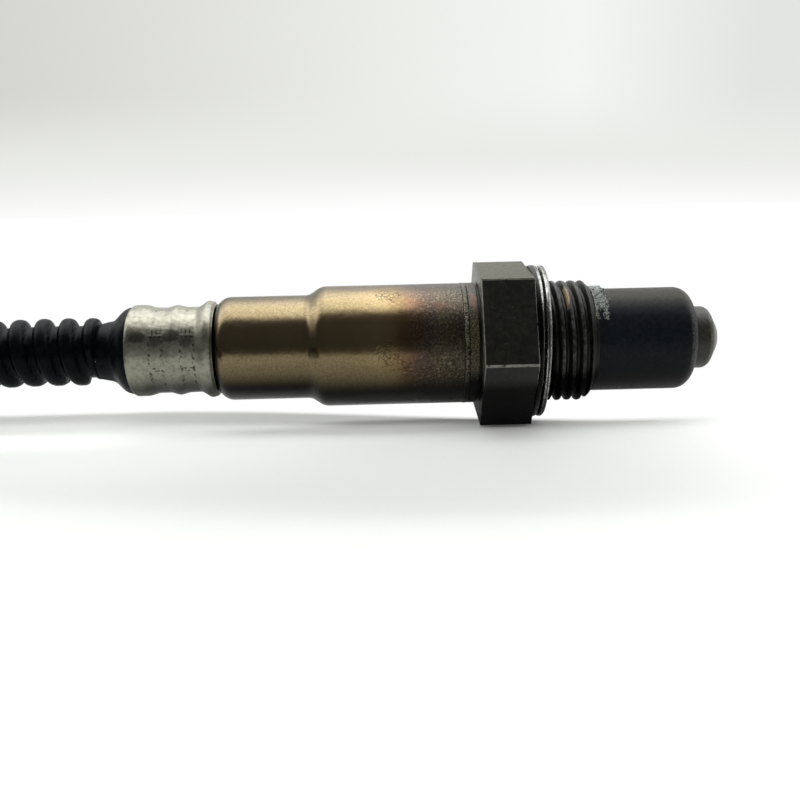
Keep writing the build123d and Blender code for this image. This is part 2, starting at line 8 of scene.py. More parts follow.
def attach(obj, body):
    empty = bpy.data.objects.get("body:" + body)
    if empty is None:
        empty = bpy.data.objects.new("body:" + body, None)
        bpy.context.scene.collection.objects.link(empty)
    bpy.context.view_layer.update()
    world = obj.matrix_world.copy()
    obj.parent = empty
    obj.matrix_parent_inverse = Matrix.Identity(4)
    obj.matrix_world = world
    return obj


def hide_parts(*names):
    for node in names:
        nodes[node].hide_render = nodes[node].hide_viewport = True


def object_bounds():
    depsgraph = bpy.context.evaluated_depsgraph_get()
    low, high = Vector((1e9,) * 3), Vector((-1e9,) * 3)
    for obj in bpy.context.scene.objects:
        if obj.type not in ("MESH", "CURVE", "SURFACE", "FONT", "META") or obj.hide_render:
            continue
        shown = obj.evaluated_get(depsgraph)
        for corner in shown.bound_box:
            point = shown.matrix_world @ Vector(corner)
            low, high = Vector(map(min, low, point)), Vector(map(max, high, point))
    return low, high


# Dresses the oxygen sensor. Everything is in the CAD frame: the sensor's axis is X, its tip
# at +X, and the origin is in the gasket's seating plane. Sizes are in millimetres, and MM
# turns them into Blender's metres.
MM = 0.001

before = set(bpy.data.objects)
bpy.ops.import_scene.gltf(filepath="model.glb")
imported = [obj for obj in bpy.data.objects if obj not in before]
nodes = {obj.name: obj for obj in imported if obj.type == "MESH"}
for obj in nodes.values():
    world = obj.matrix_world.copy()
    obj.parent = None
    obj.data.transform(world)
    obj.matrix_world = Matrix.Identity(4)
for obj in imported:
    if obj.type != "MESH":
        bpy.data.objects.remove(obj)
cad_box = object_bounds()
scene = bpy.context.scene
bench = cad_box[0].z / MM


# ---------------- camera
CAMERA_PLACE = (-23.69, -136.19, 37.84)
CAMERA_YAW = 1.06  # degrees, from +Y towards +X
CAMERA_PITCH = 18.92  # degrees, looking down
CAMERA_ROLL = -1.142
FOCAL_LENGTH = 42.17
SENSOR_WIDTH = 36.0
NEAREST_SEEN = 0.005  # metres
FARTHEST_SEEN = 20


def make_camera():
    yaw, pitch = radians(CAMERA_YAW), radians(CAMERA_PITCH)
    forward = Vector((sin(yaw) * cos(pitch), cos(yaw) * cos(pitch), -sin(pitch)))
    right = forward.cross(Vector((0, 0, 1))).normalized()
    up = right.cross(forward)
    turn = Matrix((right, up, -forward)).transposed().to_4x4()
    roll = Matrix.Rotation(radians(CAMERA_ROLL), 4, "Z")
    data = bpy.data.cameras.new("camera")
    data.lens = FOCAL_LENGTH
    data.sensor_width = SENSOR_WIDTH
    data.clip_start = NEAREST_SEEN
    data.clip_end = FARTHEST_SEEN
    camera = bpy.data.objects.new("camera", data)
    camera.matrix_world = Matrix.Translation(Vector(CAMERA_PLACE) * MM) @ turn @ roll
    scene.collection.objects.link(camera)
    scene.camera = camera


make_camera()


# ---------------- mesh helpers
def add_piece(name, vertices, faces, smooth_angle=35.0):
    """A new mesh piece from points in millimetres, smooth but for edges sharper than the angle."""
    mesh = bpy.data.meshes.new(name)
    mesh.from_pydata([Vector(point) * MM for point in vertices], [], faces)
    mesh.validate()
    tidy = bmesh.new()
    tidy.from_mesh(mesh)
    bmesh.ops.recalc_face_normals(tidy, faces=tidy.faces)
    tidy.to_mesh(mesh)
    tidy.free()
    mesh.polygons.foreach_set("use_smooth", [True] * len(mesh.polygons))
    mesh.set_sharp_from_angle(angle=radians(smooth_angle))
    piece = bpy.data.objects.new(name, mesh)
    scene.collection.objects.link(piece)
    return piece


def lathe(name, section, turns=160, shape=None):
    """A closed turned piece about X, from its (x, radius) outline. shape may move a point's x and radius."""
    vertices = []
    for station, radius in section:
        for step in range(turns):
            angle = 2 * pi * step / turns
            x, r = shape(station, radius, angle) if shape else (station, radius)
            vertices.append((x, r * cos(angle), r * sin(angle)))
    faces = []
    for row in range(len(section)):
        here, below = row * turns, (row + 1) % len(section) * turns
        for step in range(turns):
            after = (step + 1) % turns
            faces.append((here + step, here + after, below + after, below + step))
    return add_piece(name, vertices, faces)


def smoothstep(value, low, high):
    t = min(max((value - low) / (high - low), 0.0), 1.0)
    return t * t * (3 - 2 * t)


# ---------------- hose
HOSE_DIAMETER = 10.1
HOSE_START = -65.75
RUN_POINTS = [(HOSE_START, 0.0, 0.0), (-90.05, 0.0, 0.6), (-113.05, 0.0, -6.35), (-130.05, 0.0, -6.35)]
COIL_CENTRE = (-163.06, -52.0)
COIL_RADIUS = 52.0
COIL_POINTS = 20
COIL_STEP = 22.5  # degrees between the coil's points
BEND_RADIUS = 44.0
BEND_TURNS = (15, 45, 75)
BEND_TAIL = 4.0
RISE_FROM = 275.0  # degrees round the coil where the hose climbs onto its first turn
RISE_TO = 345.0
RIB_PITCH = 3.55
RIB_TOP_AT = -66.66  # a rib's crest on top of the hose
RIB_HALF_WIDTH = 1.22
RIB_SQUARENESS = 2.6
RIB_VALLEY = 3.88
RINGS_PER_RIB = 16
CUFF_SKIN_RADIUS = 4.15  # of the cuff's end, that runs on over the first rib
CUFF_SKIN_END = 0.5
CUFF_SKIN_SLANT = 0.82
CUFF_SKIN_FADE = 0.4
HOSE_END_DRAWN_IN = 0.9  # so that the first rib passes into the cuff's bore
HOSE_SIDES = 32


def hose_route():
    """The route's points: the straight run's own, then the coil's turns worked out by a loop."""
    low = bench + HOSE_DIAMETER / 2
    high = low + HOSE_DIAMETER
    points = list(RUN_POINTS)
    reach = COIL_RADIUS / cos(radians(COIL_STEP / 2))
    for index in range(COIL_POINTS):
        turn = COIL_STEP * (index + 0.5)
        x = COIL_CENTRE[0] - reach * sin(radians(turn))
        y = COIL_CENTRE[1] + reach * cos(radians(turn))
        points.append((x, y, low + (high - low) * smoothstep(turn, RISE_FROM, RISE_TO)))
    bend_x = COIL_CENTRE[0] - (COIL_RADIUS - BEND_RADIUS)
    reach = BEND_RADIUS / cos(radians(BEND_TURNS[0]))
    for turn in BEND_TURNS:
        x = bend_x - reach * cos(radians(turn))
        y = COIL_CENTRE[1] - reach * sin(radians(turn))
        points.append((x, y, high))
    points.append((bend_x + BEND_TAIL, COIL_CENTRE[1] - BEND_RADIUS, high))
    return points


def sample_route(points):
    """The smooth line through the route, as the mesh of a bare curve gives it."""
    curve = bpy.data.curves.new("hose_line", "CURVE")
    curve.dimensions = "3D"
    curve.resolution_u = 24
    spline = curve.splines.new("NURBS")
    spline.points.add(len(points) - 1)
    for control, point in zip(spline.points, points):
        control.co = (*(Vector(point) * MM), 1.0)
    spline.order_u = 3
    spline.use_endpoint_u = True
    line = bpy.data.objects.new("hose_line", curve)
    scene.collection.objects.link(line)
    mesh = bpy.data.meshes.new_from_object(line)
    places = [vertex.co.copy() / MM for vertex in mesh.vertices]
    bpy.data.objects.remove(line)
    bpy.data.meshes.remove(mesh)
    bpy.data.curves.remove(curve)
    return places


def spaced(places, gap):
    """The same line with its points the same distance apart."""
    lengths = [0.0]
    for before, after in zip(places, places[1:]):
        lengths.append(lengths[-1] + (after - before).length)
    count = max(int(lengths[-1] / gap), 1)
    result = []
    segment = 0
    for index in range(count + 1):
        target = lengths[-1] * index / count
        while segment < len(lengths) - 2 and lengths[segment + 1] < target:
            segment += 1
        part = (target - lengths[segment]) / max(lengths[segment + 1] - lengths[segment], 1e-9)
        result.append(places[segment].lerp(places[segment + 1], part))
    return result, lengths[-1]


def rib_height(phase):
    """0 in a valley to 1 on a rib's flat-topped crest; phase is in turns, with the crest at 0."""
    away = abs((phase + 0.5) % 1.0 - 0.5) * RIB_PITCH / RIB_HALF_WIDTH
    return sqrt(1 - away**RIB_SQUARENESS) if away < 1 else 0.0


def hose_radius(travelled, angle):
    """Radius at a distance along the hose, and at an angle round it from its back over its top."""
    # The rib winds right-handed: seen along the hose it gains a pitch in each turn.
    from_top = (angle + pi / 2) % (2 * pi) - pi
    phase = (travelled + RIB_TOP_AT - HOSE_START) / RIB_PITCH + from_top / (2 * pi)
    height = rib_height(phase)
    if phase < 0.5:  # the first rib only starts on top of the hose
        height *= smoothstep(sin(angle), -0.3, 0.5)
    rib = RIB_VALLEY + (HOSE_DIAMETER / 2 - RIB_VALLEY) * height
    skin_end = CUFF_SKIN_END + CUFF_SKIN_SLANT * (1 + sin(angle))
    under_skin = 1 - smoothstep(travelled, skin_end - CUFF_SKIN_FADE, skin_end)
    skin = RIB_VALLEY + (CUFF_SKIN_RADIUS - RIB_VALLEY) * under_skin
    return max(rib, skin) - HOSE_END_DRAWN_IN * (1 - smoothstep(travelled, -0.1, 0.25)) * height


def make_hose():
    places, length = spaced(sample_route(hose_route()), RIB_PITCH / RINGS_PER_RIB)
    vertices, faces = [], []
    side = Vector((0, 1, 0))
    for index, place in enumerate(places):
        ahead = places[min(index + 1, len(places) - 1)]
        behind = places[max(index - 1, 0)]
        along = (ahead - behind).normalized()
        side = (side - along * side.dot(along)).normalized()
        up = side.cross(along)
        travelled = length * index / (len(places) - 1)
        for step in range(HOSE_SIDES):
            angle = 2 * pi * step / HOSE_SIDES
            radius = hose_radius(travelled, angle)
            vertices.append(place + side * (radius * cos(angle)) + up * (radius * sin(angle)))
    rings = len(places)
    for ring in range(rings - 1):
        for step in range(HOSE_SIDES):
            after = (step + 1) % HOSE_SIDES
            low, high = ring * HOSE_SIDES, (ring + 1) * HOSE_SIDES
            faces.append((low + step, low + after, high + after, high + step))
    faces.append(tuple(range(HOSE_SIDES)))
    faces.append(tuple((rings - 1) * HOSE_SIDES + step for step in reversed(range(HOSE_SIDES))))
    hose = add_piece("ribbed_hose", vertices, faces, smooth_angle=60.0)
    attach(hose, "root")
    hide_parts("hose_run", "hose_coil")


make_hose()


# ---------------- hose cuff
CUFF_SECTION = [
    (-65.75, 3.5),
    (-65.75, 3.98),
    (-65.68, 4.08),
    (-65.2, 4.22),
    (-64.4, 4.38),
    (-63.75, 4.50),
    (-63.35, 4.66),
    (-63.0, 4.93),
    (-62.6, 5.32),
    (-62.2, 5.72),
    (-61.8, 6.08),
    (-61.4, 6.32),
    (-60.95, 6.48),
    (-60.6, 6.56),
    (-60.56, 6.2),
    (-60.4, 5.9),
    (-49.2, 5.9),
    (-49.1, 3.5),
]
CUFF_SEAM_AT = 236  # degrees round the cuff from its back over its top
CUFF_SEAM_HEIGHT = 0.10
CUFF_UNEVENNESS = 0.03


def make_cuff():
    def swell(x, radius, angle):
        seam = CUFF_SEAM_HEIGHT * (1 - smoothstep(abs(angle - radians(CUFF_SEAM_AT)), 0.02, 0.10))
        rubbed = CUFF_UNEVENNESS * noise.noise(Vector((x * 0.8, 3 * cos(angle), 3 * sin(angle))))
        outer = smoothstep(radius, 3.6, 4.0) * (1 - smoothstep(x, -61.0, -60.7))
        return x, radius + outer * (rubbed + seam)

    cuff = lathe("flared_cuff", CUFF_SECTION, turns=120, shape=swell)
    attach(cuff, "root")
    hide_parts("hose_cuff")


make_cuff()


# ---------------- housing with its thread
HEX_FLATS = 22.0
HEX_FRONT = -1.9
HEX_BACK = -9.5
HEX_CORNER = HEX_FLATS / 2 / cos(radians(30))
HEX_BEVEL = 0.12
SHOULDER_RADIUS = 8.98
SHOULDER_BACK = -11.2
UNDERCUT_BACK = -9.85
UNDERCUT_RADIUS = 8.6
SPIGOT_BACK = -14.6
SPIGOT_RADIUS = 8.4
HOUSING_BACK = -16.6
HOUSING_BACK_RADIUS = 7.1
HOUSING_BORE = 6.1
THREAD_PITCH = 1.5
THREAD_CREST = 9.0
THREAD_ROOT = 8.08
THREAD_CREST_AT = 1.75  # where a crest meets the top of the housing
THREAD_RISE = 0.35
THREAD_START = 1.3
THREAD_END = 6.1
THREAD_STEP = 0.06
THREAD_ROUNDING = 0.06  # of a crest, over the half width of its top
THREAD_TOP_HALF = 0.3
THREAD_FLANK = (0.2, 0.66)  # from a crest's middle
THREAD_WEAR = 0.035
THREAD_SUNK = 0.02  # so that wear stays inside the major diameter
NOSE_START = 6.9
NOSE_DROP = 0.73
NOSE_RADIUS = 7.68
TUBE_BACK = 7.5
TUBE_BORE = 7.2
NOSE_END = 10.3
EDGE = 0.08  # small broken edges of the turned pieces


def thread_radius(x, angle):
    """The worn, round-crested thread: radius at a place along and round the housing."""
    phase = (x - THREAD_CREST_AT) / THREAD_PITCH - (angle - pi / 2) / (2 * pi)
    away = abs((phase + 0.5) % 1.0 - 0.5) * THREAD_PITCH
    rounding = THREAD_ROUNDING * min(away / THREAD_TOP_HALF, 1.0) ** 2
    depth = THREAD_CREST - THREAD_ROOT
    radius = THREAD_CREST - rounding - (depth - THREAD_ROUNDING) * smoothstep(away, *THREAD_FLANK)
    wear = THREAD_WEAR * noise.noise(Vector((x * 1.2, 4 * cos(angle), 4 * sin(angle))))
    radius += wear * smoothstep(radius, THREAD_ROOT + 0.3, THREAD_CREST) - THREAD_SUNK
    if x < THREAD_START:
        radius = min(radius, THREAD_ROOT + depth * smoothstep(x, THREAD_RISE, THREAD_START))
    if x > THREAD_END:
        radius = min(radius, THREAD_CREST - NOSE_DROP * (x - THREAD_END) / (NOSE_START - THREAD_END))
    return max(radius, THREAD_ROOT)


def hexagon_mesh():
    hexagon = bmesh.new()
    ring = []
    for step in range(6):
        angle = radians(60 * step)
        ring.append(hexagon.verts.new((HEX_BACK, HEX_CORNER * cos(angle), HEX_CORNER * sin(angle))))
    cap = hexagon.faces.new(ring)
    pushed = bmesh.ops.extrude_face_region(hexagon, geom=[cap])
    moved = [item for item in pushed["geom"] if isinstance(item, bmesh.types.BMVert)]
    bmesh.ops.translate(hexagon, verts=moved, vec=(HEX_FRONT - HEX_BACK, 0, 0))
    bmesh.ops.bevel(
        hexagon,
        geom=hexagon.edges[:],
        offset=HEX_BEVEL,
        segments=3,
        profile=0.6,
        affect="EDGES",
        clamp_overlap=True,
    )
    bmesh.ops.recalc_face_normals(hexagon, faces=hexagon.faces)
    for vertex in hexagon.verts:
        vertex.co *= MM
    return hexagon


def make_housing():
    back = [
        (HOUSING_BACK + 0.4, HOUSING_BORE),
        (HOUSING_BACK, HOUSING_BORE + 0.3),
        (HOUSING_BACK, HOUSING_BACK_RADIUS - 0.2),
        (HOUSING_BACK + 0.2, HOUSING_BACK_RADIUS),
        (SPIGOT_BACK, HOUSING_BACK_RADIUS),
        (SPIGOT_BACK, SPIGOT_RADIUS),
        (SHOULDER_BACK, SPIGOT_RADIUS),
        (SHOULDER_BACK, SHOULDER_RADIUS - EDGE),
        (SHOULDER_BACK + EDGE, SHOULDER_RADIUS),
        (UNDERCUT_BACK - EDGE, SHOULDER_RADIUS),
        (UNDERCUT_BACK, SHOULDER_RADIUS - EDGE),
        (UNDERCUT_BACK, UNDERCUT_RADIUS),
        (HEX_FRONT - 1.0, UNDERCUT_RADIUS),
        (HEX_FRONT - 0.5, THREAD_ROOT),
        (THREAD_RISE - EDGE, THREAD_ROOT),
    ]
    count = int((NOSE_START - THREAD_RISE) / THREAD_STEP)
    thread = [(THREAD_RISE + THREAD_STEP * index, THREAD_CREST) for index in range(count)]
    nose = [
        (NOSE_START, THREAD_ROOT + 0.1),
        (NOSE_START + 0.03, NOSE_RADIUS + EDGE),
        (NOSE_START + 0.12, NOSE_RADIUS),
        (TUBE_BACK - EDGE, NOSE_RADIUS),
        (TUBE_BACK, NOSE_RADIUS - EDGE),
        (TUBE_BACK, TUBE_BORE),
        (NOSE_END, TUBE_BORE),
        (NOSE_END, HOUSING_BORE),
    ]

    def cut_thread(x, radius, angle):
        return x, thread_radius(x, angle) if radius == THREAD_CREST else radius

    turned = lathe("threaded_housing", back + thread + nose, turns=220, shape=cut_thread)
    hexagon = hexagon_mesh()
    hexagon.from_mesh(turned.data)
    hexagon.to_mesh(turned.data)
    hexagon.free()
    turned.data.polygons.foreach_set("use_smooth", [True] * len(turned.data.polygons))
    turned.data.set_sharp_from_angle(angle=radians(40))
    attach(turned, "root")
    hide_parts("housing")


make_housing()


# ---------------- gasket
# The folds are pressed a little askew: their front leans towards the hexagon at the bottom.
GASKET_LEAN = 0.30
GASKET_TILT = 0.35
GASKET_TILT_AT = 144.5  # degrees from the front
GASKET_DENT = 0.05
GASKET_SHRINK = 0.02  # so that dents stay inside the rim's radius
GASKET_SECTION = [
    (-1.88, 8.7),
    (-1.88, 11.05),
    (-1.80, 11.28),
    (-1.62, 11.38),
    (-1.38, 11.38),
    (-1.18, 11.30),
    (-1.06, 11.12),
    (-1.02, 10.7),
    (-0.92, 10.45),
    (-0.82, 10.7),
    (-0.79, 11.05),
    (-0.70, 11.24),
    (-0.56, 11.30),
    (-0.47, 11.22),
    (-0.40, 11.22),
    (-0.30, 11.33),
    (-0.14, 11.24),
    (-0.04, 11.05),
    (0.0, 10.7),
    (0.0, 8.7),
]


def make_gasket():
    def lean(x, radius, angle):
        from_front = pi - angle
        shift = GASKET_LEAN + GASKET_TILT * cos(from_front - radians(GASKET_TILT_AT))
        dent = GASKET_DENT * noise.noise(Vector((x, 3 * cos(angle), 3 * sin(angle))))
        outer = smoothstep(radius, 9.5, 11.0)
        free = smoothstep(x, -1.9, -1.2)
        return x + outer * free * (shift + dent), radius + outer * 0.4 * dent - GASKET_SHRINK * outer

    gasket = lathe("folded_gasket", GASKET_SECTION, turns=160, shape=lean)
    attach(gasket, "root")
    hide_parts("seal_gasket")


make_gasket()


# ---------------- crimp collar
COLLAR_BACK = -60.55
COLLAR_FRONT = -48.15
COLLAR_WALL = 0.45
COLLAR_STEP = 0.12
COLLAR_PROFILE = [
    (-60.55, 6.62),
    (-60.2, 6.80),
    (-58.7, 6.80),
    (-57.1, 6.42),
    (-55.4, 6.40),
    (-54.0, 6.70),
    (-52.6, 6.42),
    (-50.9, 6.40),
    (-49.15, 7.22),
    (-48.6, 7.08),
    (-48.15, 6.66),
]
GROOVES = [(-57.25, -55.25), (-52.75, -50.75)]  # where the crimping jaws pressed
JAW_COUNT = 8
JAW_PHASE = -10.5  # degrees up from the front to the middle of a gap between two jaws
JAW_GAP = 1.9  # degrees
JAW_RIDGE = 0.04
GROOVE_DEPTH = 0.03
SLOW_WAVE = (0.035, 0.35)  # height and scale of the pressed sheet's unevenness
QUICK_WAVE = (0.012, 1.1)
RIM_TILT = 0.025
RIM_TILT_REACH = 5
COLLAR_SHIFT = 0.02


def collar_radius(x):
    """The smooth rise and fall of the pressed sheet."""
    for (before, low), (after, high) in zip(COLLAR_PROFILE, COLLAR_PROFILE[1:]):
        if x <= after:
            return low + (high - low) * smoothstep(x, before, after)
    return COLLAR_PROFILE[-1][1]


def groove_weight(x):
    """1 inside a groove pressed by the jaws, fading to 0 at its edges."""
    weights = []
    for start, end in GROOVES:
        weights.append(smoothstep(x, start - 0.1, start + 0.1) * (1 - smoothstep(x, end - 0.1, end + 0.1)))
    return max(weights)


def jaw_gap(angle):
    """1 on the little ridge that stands up between two jaws, 0 away from it."""
    turn = (pi - angle) * 180 / pi - JAW_PHASE
    pitch = 360 / JAW_COUNT
    away = abs((turn / pitch + 0.5) % 1.0 - 0.5) * pitch
    return 1 - smoothstep(away, JAW_GAP * 0.3, JAW_GAP)


def make_collar():
    count = int((COLLAR_FRONT - COLLAR_BACK) / COLLAR_STEP)
    outside = [COLLAR_BACK + (COLLAR_FRONT - COLLAR_BACK) * index / count for index in range(count + 1)]
    section = [(x, collar_radius(x)) for x in outside]
    section += [(x, collar_radius(x) - COLLAR_WALL) for x in reversed(outside)]

    def press(x, radius, angle):
        groove = groove_weight(x)
        place = Vector((x, 6 * cos(angle), 6 * sin(angle)))
        wave = sum(height * noise.noise(place * scale) for height, scale in (SLOW_WAVE, QUICK_WAVE))
        tilt = -RIM_TILT * radius * cos(pi - angle)
        slide = 1 - smoothstep(x, COLLAR_BACK, COLLAR_BACK + RIM_TILT_REACH)
        pressed = wave - GROOVE_DEPTH * groove + JAW_RIDGE * groove * jaw_gap(angle)
        return x + tilt * slide + COLLAR_SHIFT, radius + pressed

    collar = lathe("pressed_collar", section, turns=288, shape=press)
    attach(collar, "root")
    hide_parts("crimp_collar")


make_collar()


# ---------------- burnt deposit on the tube
DEPOSIT_START = 7.1
DEPOSIT_LENGTH = 3.6
DEPOSIT_FROM = 15  # degrees up from the front
DEPOSIT_TO = 150
DEPOSIT_BASE = 7.55  # under the tube's skin
DEPOSIT_SKIN = 0.15
DEPOSIT_HEIGHT = 0.55
DEPOSIT_CELLS = (48, 150)


def deposit_height(along, turn):
    """How high the flaky crust stands, in millimetres: thickest on top, in grains at its edge."""
    x = DEPOSIT_START + DEPOSIT_LENGTH * along
    angle = radians(turn)
    place = Vector((x * 1.1, 9 * cos(angle), 9 * sin(angle)))
    cover = (1 - smoothstep(along, 0.30, 0.95)) * smoothstep(turn, DEPOSIT_FROM, 66)
    cover *= 1 - smoothstep(turn, 118, DEPOSIT_TO)
    grain = noise.noise(place * 1.3) + 0.5 * noise.noise(place * 3.1)
    return DEPOSIT_HEIGHT * smoothstep(cover + 0.45 * grain, 0.42, 0.85)


def make_deposit():
    rows, columns = DEPOSIT_CELLS
    width = columns + 1
    layer = (rows + 1) * width
    vertices, faces = [], []
    for top in (True, False):
        for row in range(rows + 1):
            for column in range(width):
                turn = DEPOSIT_FROM + (DEPOSIT_TO - DEPOSIT_FROM) * column / columns
                height = deposit_height(row / rows, turn) if top else -DEPOSIT_SKIN
                x = DEPOSIT_START + DEPOSIT_LENGTH * row / rows
                radius = DEPOSIT_BASE + height
                vertices.append((x, -radius * cos(radians(turn)), radius * sin(radians(turn))))
    for row in range(rows):
        for column in range(columns):
            corner = row * width + column
            upper = (corner, corner + 1, corner + width + 1, corner + width)
            faces.append(upper)
            faces.append(tuple(index + layer for index in reversed(upper)))
    rim = [*range(columns)]
    rim += [columns + row * width for row in range(rows)]
    rim += [rows * width + column for column in range(columns, 0, -1)]
    rim += [row * width for row in range(rows, 0, -1)]
    for index, after in zip(rim, rim[1:] + rim[:1]):
        faces.append((index, after, after + layer, index + layer))
    deposit = add_piece("tube_deposit", vertices, faces, smooth_angle=50.0)
    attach(deposit, "root")


make_deposit()


# ---------------- node helpers
class Nodes:
    """Adds nodes to a tree. Each method returns the output socket of the node it adds."""

    def __init__(self, tree):
        self.tree = tree
        self.tree.nodes.clear()

    def feed(self, socket, value):
        if isinstance(value, bpy.types.NodeSocket):
            self.tree.links.new(value, socket)
        else:
            socket.default_value = value

    def add(self, kind, output, inputs, **settings):
        node = self.tree.nodes.new(kind)
        for key, value in settings.items():
            setattr(node, key, value)
        for name, value in inputs.items():
            self.feed(node.inputs[name], value)
        return node.outputs[output]

    def math(self, operation, a, b=0.0):
        return self.add("ShaderNodeMath", 0, {0: a, 1: b}, operation=operation)

    def product(self, first, *others):
        for other in others:
            first = self.math("MULTIPLY", first, other)
        return first

    def fade(self, value, low, high, to_low=0.0, to_high=1.0):
        inputs = {"Value": value, "From Min": low, "From Max": high, "To Min": to_low, "To Max": to_high}
        return self.add("ShaderNodeMapRange", 0, inputs, interpolation_type="SMOOTHSTEP")

    def near(self, value, centre, reach):
        """1 at the centre, fading to 0 at the reach on either side."""
        away = self.math("ABSOLUTE", self.math("SUBTRACT", value, centre))
        return self.fade(away, reach, 0.4 * reach)

    def noise(self, vector, scale, detail=3.0, roughness=0.55):
        inputs = {"Vector": vector, "Scale": scale, "Detail": detail, "Roughness": roughness}
        return self.add("ShaderNodeTexNoise", 0, inputs)

    def cells(self, vector, scale, feature="F1", output="Distance"):
        return self.add("ShaderNodeTexVoronoi", output, {"Vector": vector, "Scale": scale}, feature=feature)

    def mix(self, factor, a, b):
        node = self.tree.nodes.new("ShaderNodeMix")
        node.data_type = "RGBA"
        self.feed(node.inputs[0], factor)
        self.feed(node.inputs[6], self.colour(a))
        self.feed(node.inputs[7], self.colour(b))
        return node.outputs[2]

    def colour(self, value):
        return (*value, 1.0) if isinstance(value, tuple) else value

    def ramp(self, factor, stops):
        node = self.tree.nodes.new("ShaderNodeValToRGB")
        elements = node.color_ramp.elements
        while len(elements) < len(stops):
            elements.new(0.5)
        for element, (place, colour) in zip(elements, stops):
            element.position = place
            element.color = (*colour, 1.0)
        self.feed(node.inputs[0], factor)
        return node.outputs[0]

    def spread(self, value, stops):
        """A ramp over stops given in the value's own unit."""
        first, last = stops[0][0], stops[-1][0]
        along = self.math("DIVIDE", self.math("SUBTRACT", value, first), last - first)
        return self.ramp(along, [((place - first) / (last - first), colour) for place, colour in stops])

    def scaled(self, vector, scale):
        return self.add("ShaderNodeMapping", 0, {"Vector": vector, "Scale": scale})

    def separate(self, vector):
        node = self.tree.nodes.new("ShaderNodeSeparateXYZ")
        self.feed(node.inputs[0], vector)
        return node.outputs[0], node.outputs[1], node.outputs[2]

    def bump(self, height, depth):
        return self.add("ShaderNodeBump", 0, {"Height": height, "Distance": depth * MM})


class Surface(Nodes):
    """A material's tree. place is in millimetres, x along the axis, and turn in degrees up from the front."""

    def __init__(self, name, metallic=0.0, specular=0.5):
        self.material = bpy.data.materials.new(name)
        self.material.use_nodes = True
        super().__init__(self.material.node_tree)
        self.shader = self.tree.nodes.new("ShaderNodeBsdfPrincipled")
        output = self.tree.nodes.new("ShaderNodeOutputMaterial")
        self.tree.links.new(self.shader.outputs[0], output.inputs["Surface"])
        self.shader.inputs["Metallic"].default_value = metallic
        self.shader.inputs["Specular IOR Level"].default_value = specular
        coordinates = self.tree.nodes.new("ShaderNodeTexCoord")
        self.place = self.scaled(coordinates.outputs["Object"], (1 / MM, 1 / MM, 1 / MM))
        self.x, self.y, self.z = self.separate(self.place)

    def distance(self, a, b):
        squares = self.math("ADD", self.math("MULTIPLY", a, a), self.math("MULTIPLY", b, b))
        return self.math("SQRT", squares)

    def radius(self):
        return self.distance(self.y, self.z)

    def turn(self):
        angle = self.math("ARCTAN2", self.z, self.math("MULTIPLY", self.y, -1.0))
        return self.math("MULTIPLY", angle, 180 / pi)

    def patch(self, turn, centre, reach, ragged=0.5):
        """A ragged spot about (x, turn), as wide as its reach (millimetres, degrees)."""
        across = self.math("DIVIDE", self.math("SUBTRACT", self.x, centre[0]), reach[0])
        round_it = self.math("DIVIDE", self.math("SUBTRACT", turn, centre[1]), reach[1])
        uneven = self.math("SUBTRACT", self.noise(self.place, 1.5, 4.0), 0.5)
        rough = self.math("MULTIPLY", uneven, 4 * ragged)
        return self.fade(self.math("ADD", self.distance(across, round_it), rough), 1.0, 0.55)

    def painted_underside_shade(self, colour, darkest, low=-0.58, high=-0.05):
        """Painted shade: the colour darkened towards the bottom of the turned piece, where it is in shade."""
        lean = self.math("DIVIDE", self.z, self.radius())
        return self.mix(self.fade(lean, high, low), colour, darkest)

    def finish(self, colour, roughness, normal=None):
        self.feed(self.shader.inputs["Base Color"], self.colour(colour))
        self.feed(self.shader.inputs["Roughness"], roughness)
        if normal is not None:
            self.feed(self.shader.inputs["Normal"], normal)
        return self.material


# ---------------- materials
# painted shade: the near-black that undersides and the gasket's back fold are darkened towards
PAINTED_SHADE_BLACK = (0.006, 0.006, 0.005)
WELD_EDGES = (-12.0, -11.2)
WELD_HEAT = (-21.0, -15.5)  # where the sleeve turns rough and speckled towards its weld
COLLAR_SHADE = (-46.9, -47.35)  # where the sleeve goes in under the collar's lip
HEAT_TINTS = [  # of the sleeve, by place along the axis, from the collar to the weld
    (-48.0, (0.160, 0.126, 0.072)),
    (-34.0, (0.158, 0.124, 0.068)),
    (-28.0, (0.160, 0.123, 0.064)),
    (-24.0, (0.190, 0.143, 0.074)),
    (-22.3, (0.175, 0.124, 0.060)),
    (-21.0, (0.138, 0.092, 0.044)),
    (-19.7, (0.098, 0.062, 0.036)),
    (-18.4, (0.076, 0.049, 0.034)),
    (-17.1, (0.056, 0.040, 0.034)),
    (-15.8, (0.063, 0.052, 0.034)),
    (-14.5, (0.056, 0.047, 0.033)),
    (-12.0, (0.044, 0.038, 0.030)),
]
HEAT_WANDER = 5.0  # how far the tints' edges stray along the axis
SLEEVE_STAINS = [  # centre (x, turn), reach (millimetres, degrees), share and colour
    ((-19.6, 57.0), (1.3, 8.0), 0.32, (0.150, 0.075, 0.050)),
    ((-15.1, 53.0), (1.8, 6.0), 0.35, (0.095, 0.042, 0.040)),
    ((-20.4, 3.0), (2.0, 12.0), 0.25, (0.110, 0.055, 0.040)),
    ((-18.3, -2.0), (2.0, 12.0), 0.22, (0.075, 0.040, 0.045)),
    ((-46.7, 8.0), (0.5, 3.0), 0.40, (0.020, 0.018, 0.012)),
    ((-33.6, 12.0), (0.5, 3.0), 0.40, (0.020, 0.018, 0.012)),
]
CRACKED = [  # centre (x, turn) and reach of the places where the oxide has cracked
    ((-22.8, 70.0), (2.2, 14.0)),
    ((-22.6, 6.0), (2.2, 12.0)),
    ((-19.5, -8.0), (2.4, 12.0)),
]


